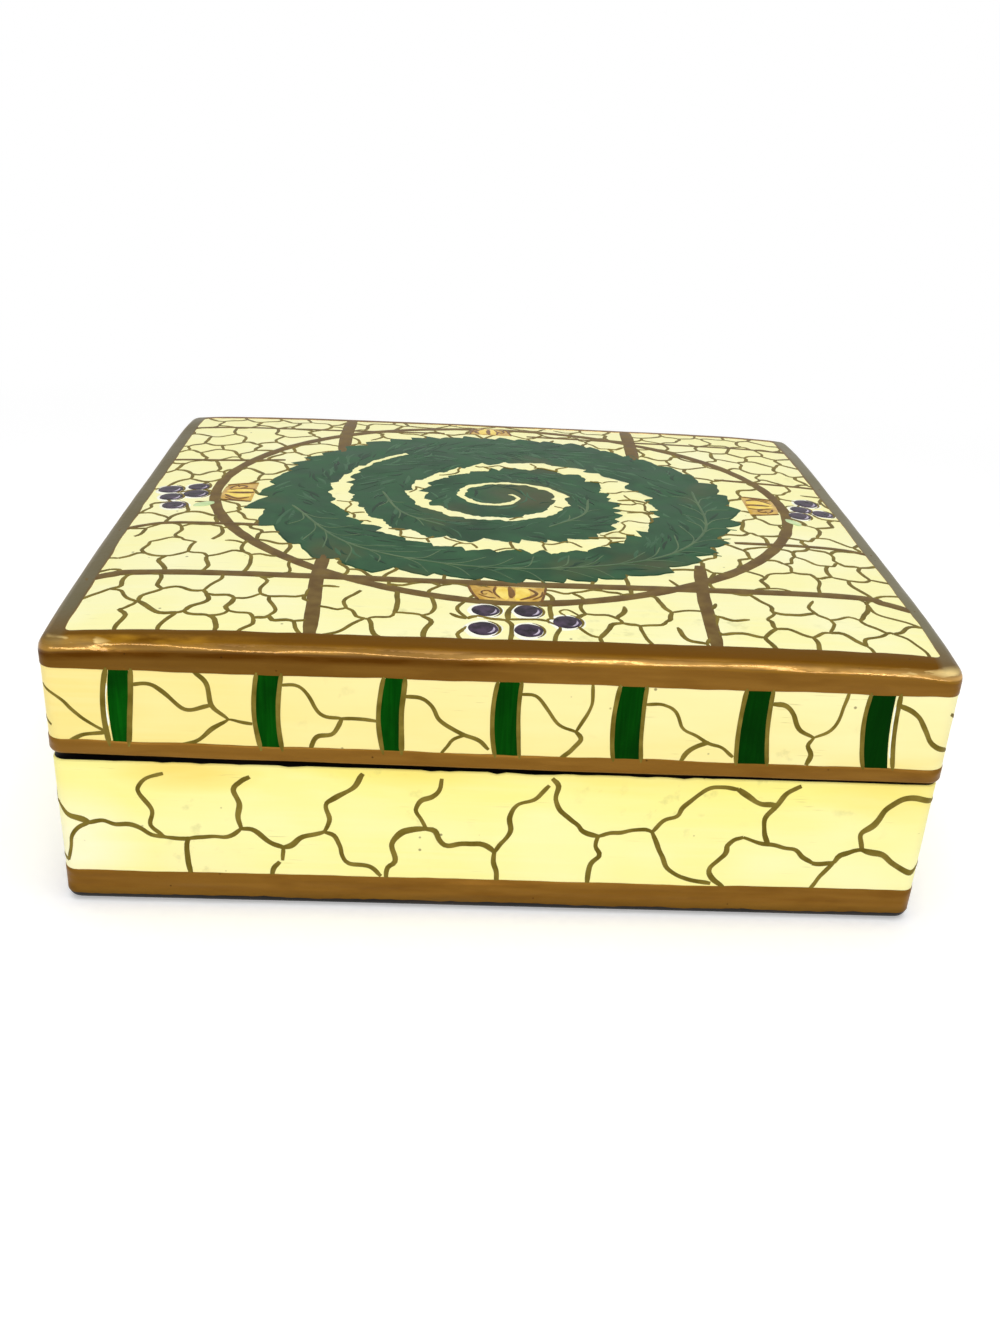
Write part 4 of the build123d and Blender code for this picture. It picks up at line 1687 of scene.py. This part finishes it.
# Single stains on the base's walls: middle, reach, colour and strength
BASE_STAINS = (
    ((-53, -66, 27.0), (14, 40, 4.5), screen(250, 216, 104), 0.9),
    ((-12, -66, 28), (20, 40, 4), UNDER_RIM, 0.6),
    ((22, -66, 28), (22, 40, 4), UNDER_RIM, 0.55),
    ((68, -66, 27), (15, 40, 7), UNDER_RIM, 0.7),
    ((-73, -66, 12), (14, 30, 13), screen(253, 249, 218), 0.8),
    ((-52, -66, 8), (13, 30, 8), screen(253, 240, 176), 0.6),
    ((0, 66, 28), (40, 40, 5), UNDER_RIM, 0.7),
    ((76, 10, 28), (40, 40, 5), UNDER_RIM, 0.6),
    ((-76, -10, 28), (40, 40, 5), UNDER_RIM, 0.6),
)


def make_shells(cream_top, cream_wall, cream_base, black):
    make_shell("lid_body", lid, LID_ROLL, on_top, lid_rim_at, lid_hollow, lid_top - LID_TOP, COVE,
               (cream_top, cream_wall, black), "lid", "lid_shell")
    make_shell("base_body", base, FOOT_ROLL, under_base, base_rim_at, base_hollow, BASE_FLOOR, 0,
               (black, cream_base, black), "base", "base_shell")


def paint_neck(black):
    """The four neck strips keep their CAD shape and get the black lacquer."""
    for name in ("neck_front", "neck_back", "neck_left", "neck_right"):
        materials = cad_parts[name].data.materials
        materials.clear()
        materials.append(black)


def make_box():
    cream_top = cream_paint("cream_top", screen(252, 247, 176), screen(253, 251, 206),
                            screen(249, 236, 150), (90.0, 91.0))
    cream_wall = cream_paint("cream_wall", screen(251, 229, 142), screen(252, 241, 174),
                             screen(246, 226, 136), (50.0, 26.0), right=screen(252, 248, 190))
    cream_base = cream_paint("cream_base", screen(251, 244, 160), screen(252, 248, 188),
                             screen(252, 240, 136), (13.0, 28.0), spots=BASE_STAINS)
    gold = gold_paint("gold_border", screen(124, 85, 28), screen(142, 102, 40), screen(102, 64, 12))
    brown = line_paint("line_brown", screen(104, 89, 26), screen(132, 115, 47))
    strap_brown = line_paint("strap_brown", screen(98, 74, 32), screen(118, 96, 50))
    garland = green_paint("garland_green", screen(30, 74, 42), screen(44, 88, 54), screen(14, 54, 28),
                          screen(84, 80, 44), (5, 5, 5), 0.05, worn_reach=11.0)
    bar_green = green_paint("bar_green", screen(0, 66, 2), screen(4, 84, 6), screen(0, 40, 0),
                            screen(0, 54, 2), (0.6, 0.6, 12), 0.02, darker_right=True)
    leaf_light = spot_paint("leaf_light", screen(46, 88, 56), screen(62, 102, 68), 4.0, 0.05)
    leaf_dark = spot_paint("leaf_dark", screen(12, 48, 24), screen(26, 62, 36), 4.0, 0.05)
    vein = spot_paint("vein_green", screen(70, 98, 64), screen(90, 114, 78), 6.0, 0.05)
    orange = spot_paint("flower_orange", screen(196, 152, 60), screen(226, 190, 100), 2.2)
    yellow = spot_paint("flower_yellow", screen(242, 208, 78), screen(252, 226, 116), 2.0)
    flower_brown = spot_paint("flower_brown", screen(96, 60, 4), screen(132, 88, 16), 1.4)
    purple = spot_paint("grape_purple", screen(22, 10, 24), screen(72, 56, 76), 1.8)
    pale = spot_paint("shine_pale", screen(166, 154, 176), screen(206, 196, 212), 1.2)
    leaf = spot_paint("leaf_pale", screen(188, 214, 150), screen(212, 230, 176), 1.5)
    white = spot_paint("white_dabs", screen(250, 250, 226), screen(255, 255, 244), 2.0)
    black = black_lacquer("black_lacquer")

    make_shells(cream_top, cream_wall, cream_base, black)
    paint_neck(black)
    make_gold_edge(gold)
    make_gold_rim(gold)
    make_gold_foot(gold)
    make_top_crackle(brown)
    make_straps(strap_brown)
    make_garland(garland, cream_top, brown, vein, leaf_light, leaf_dark)
    make_flowers(orange, yellow, flower_brown)
    make_grapes(white, purple, pale, brown, leaf)
    make_lid_walls(bar_green, brown, white)
    make_base_crackle(brown)


bpy.context.scene.view_settings.view_transform = "Standard"
make_camera()
make_floor()
make_lights()
make_box()
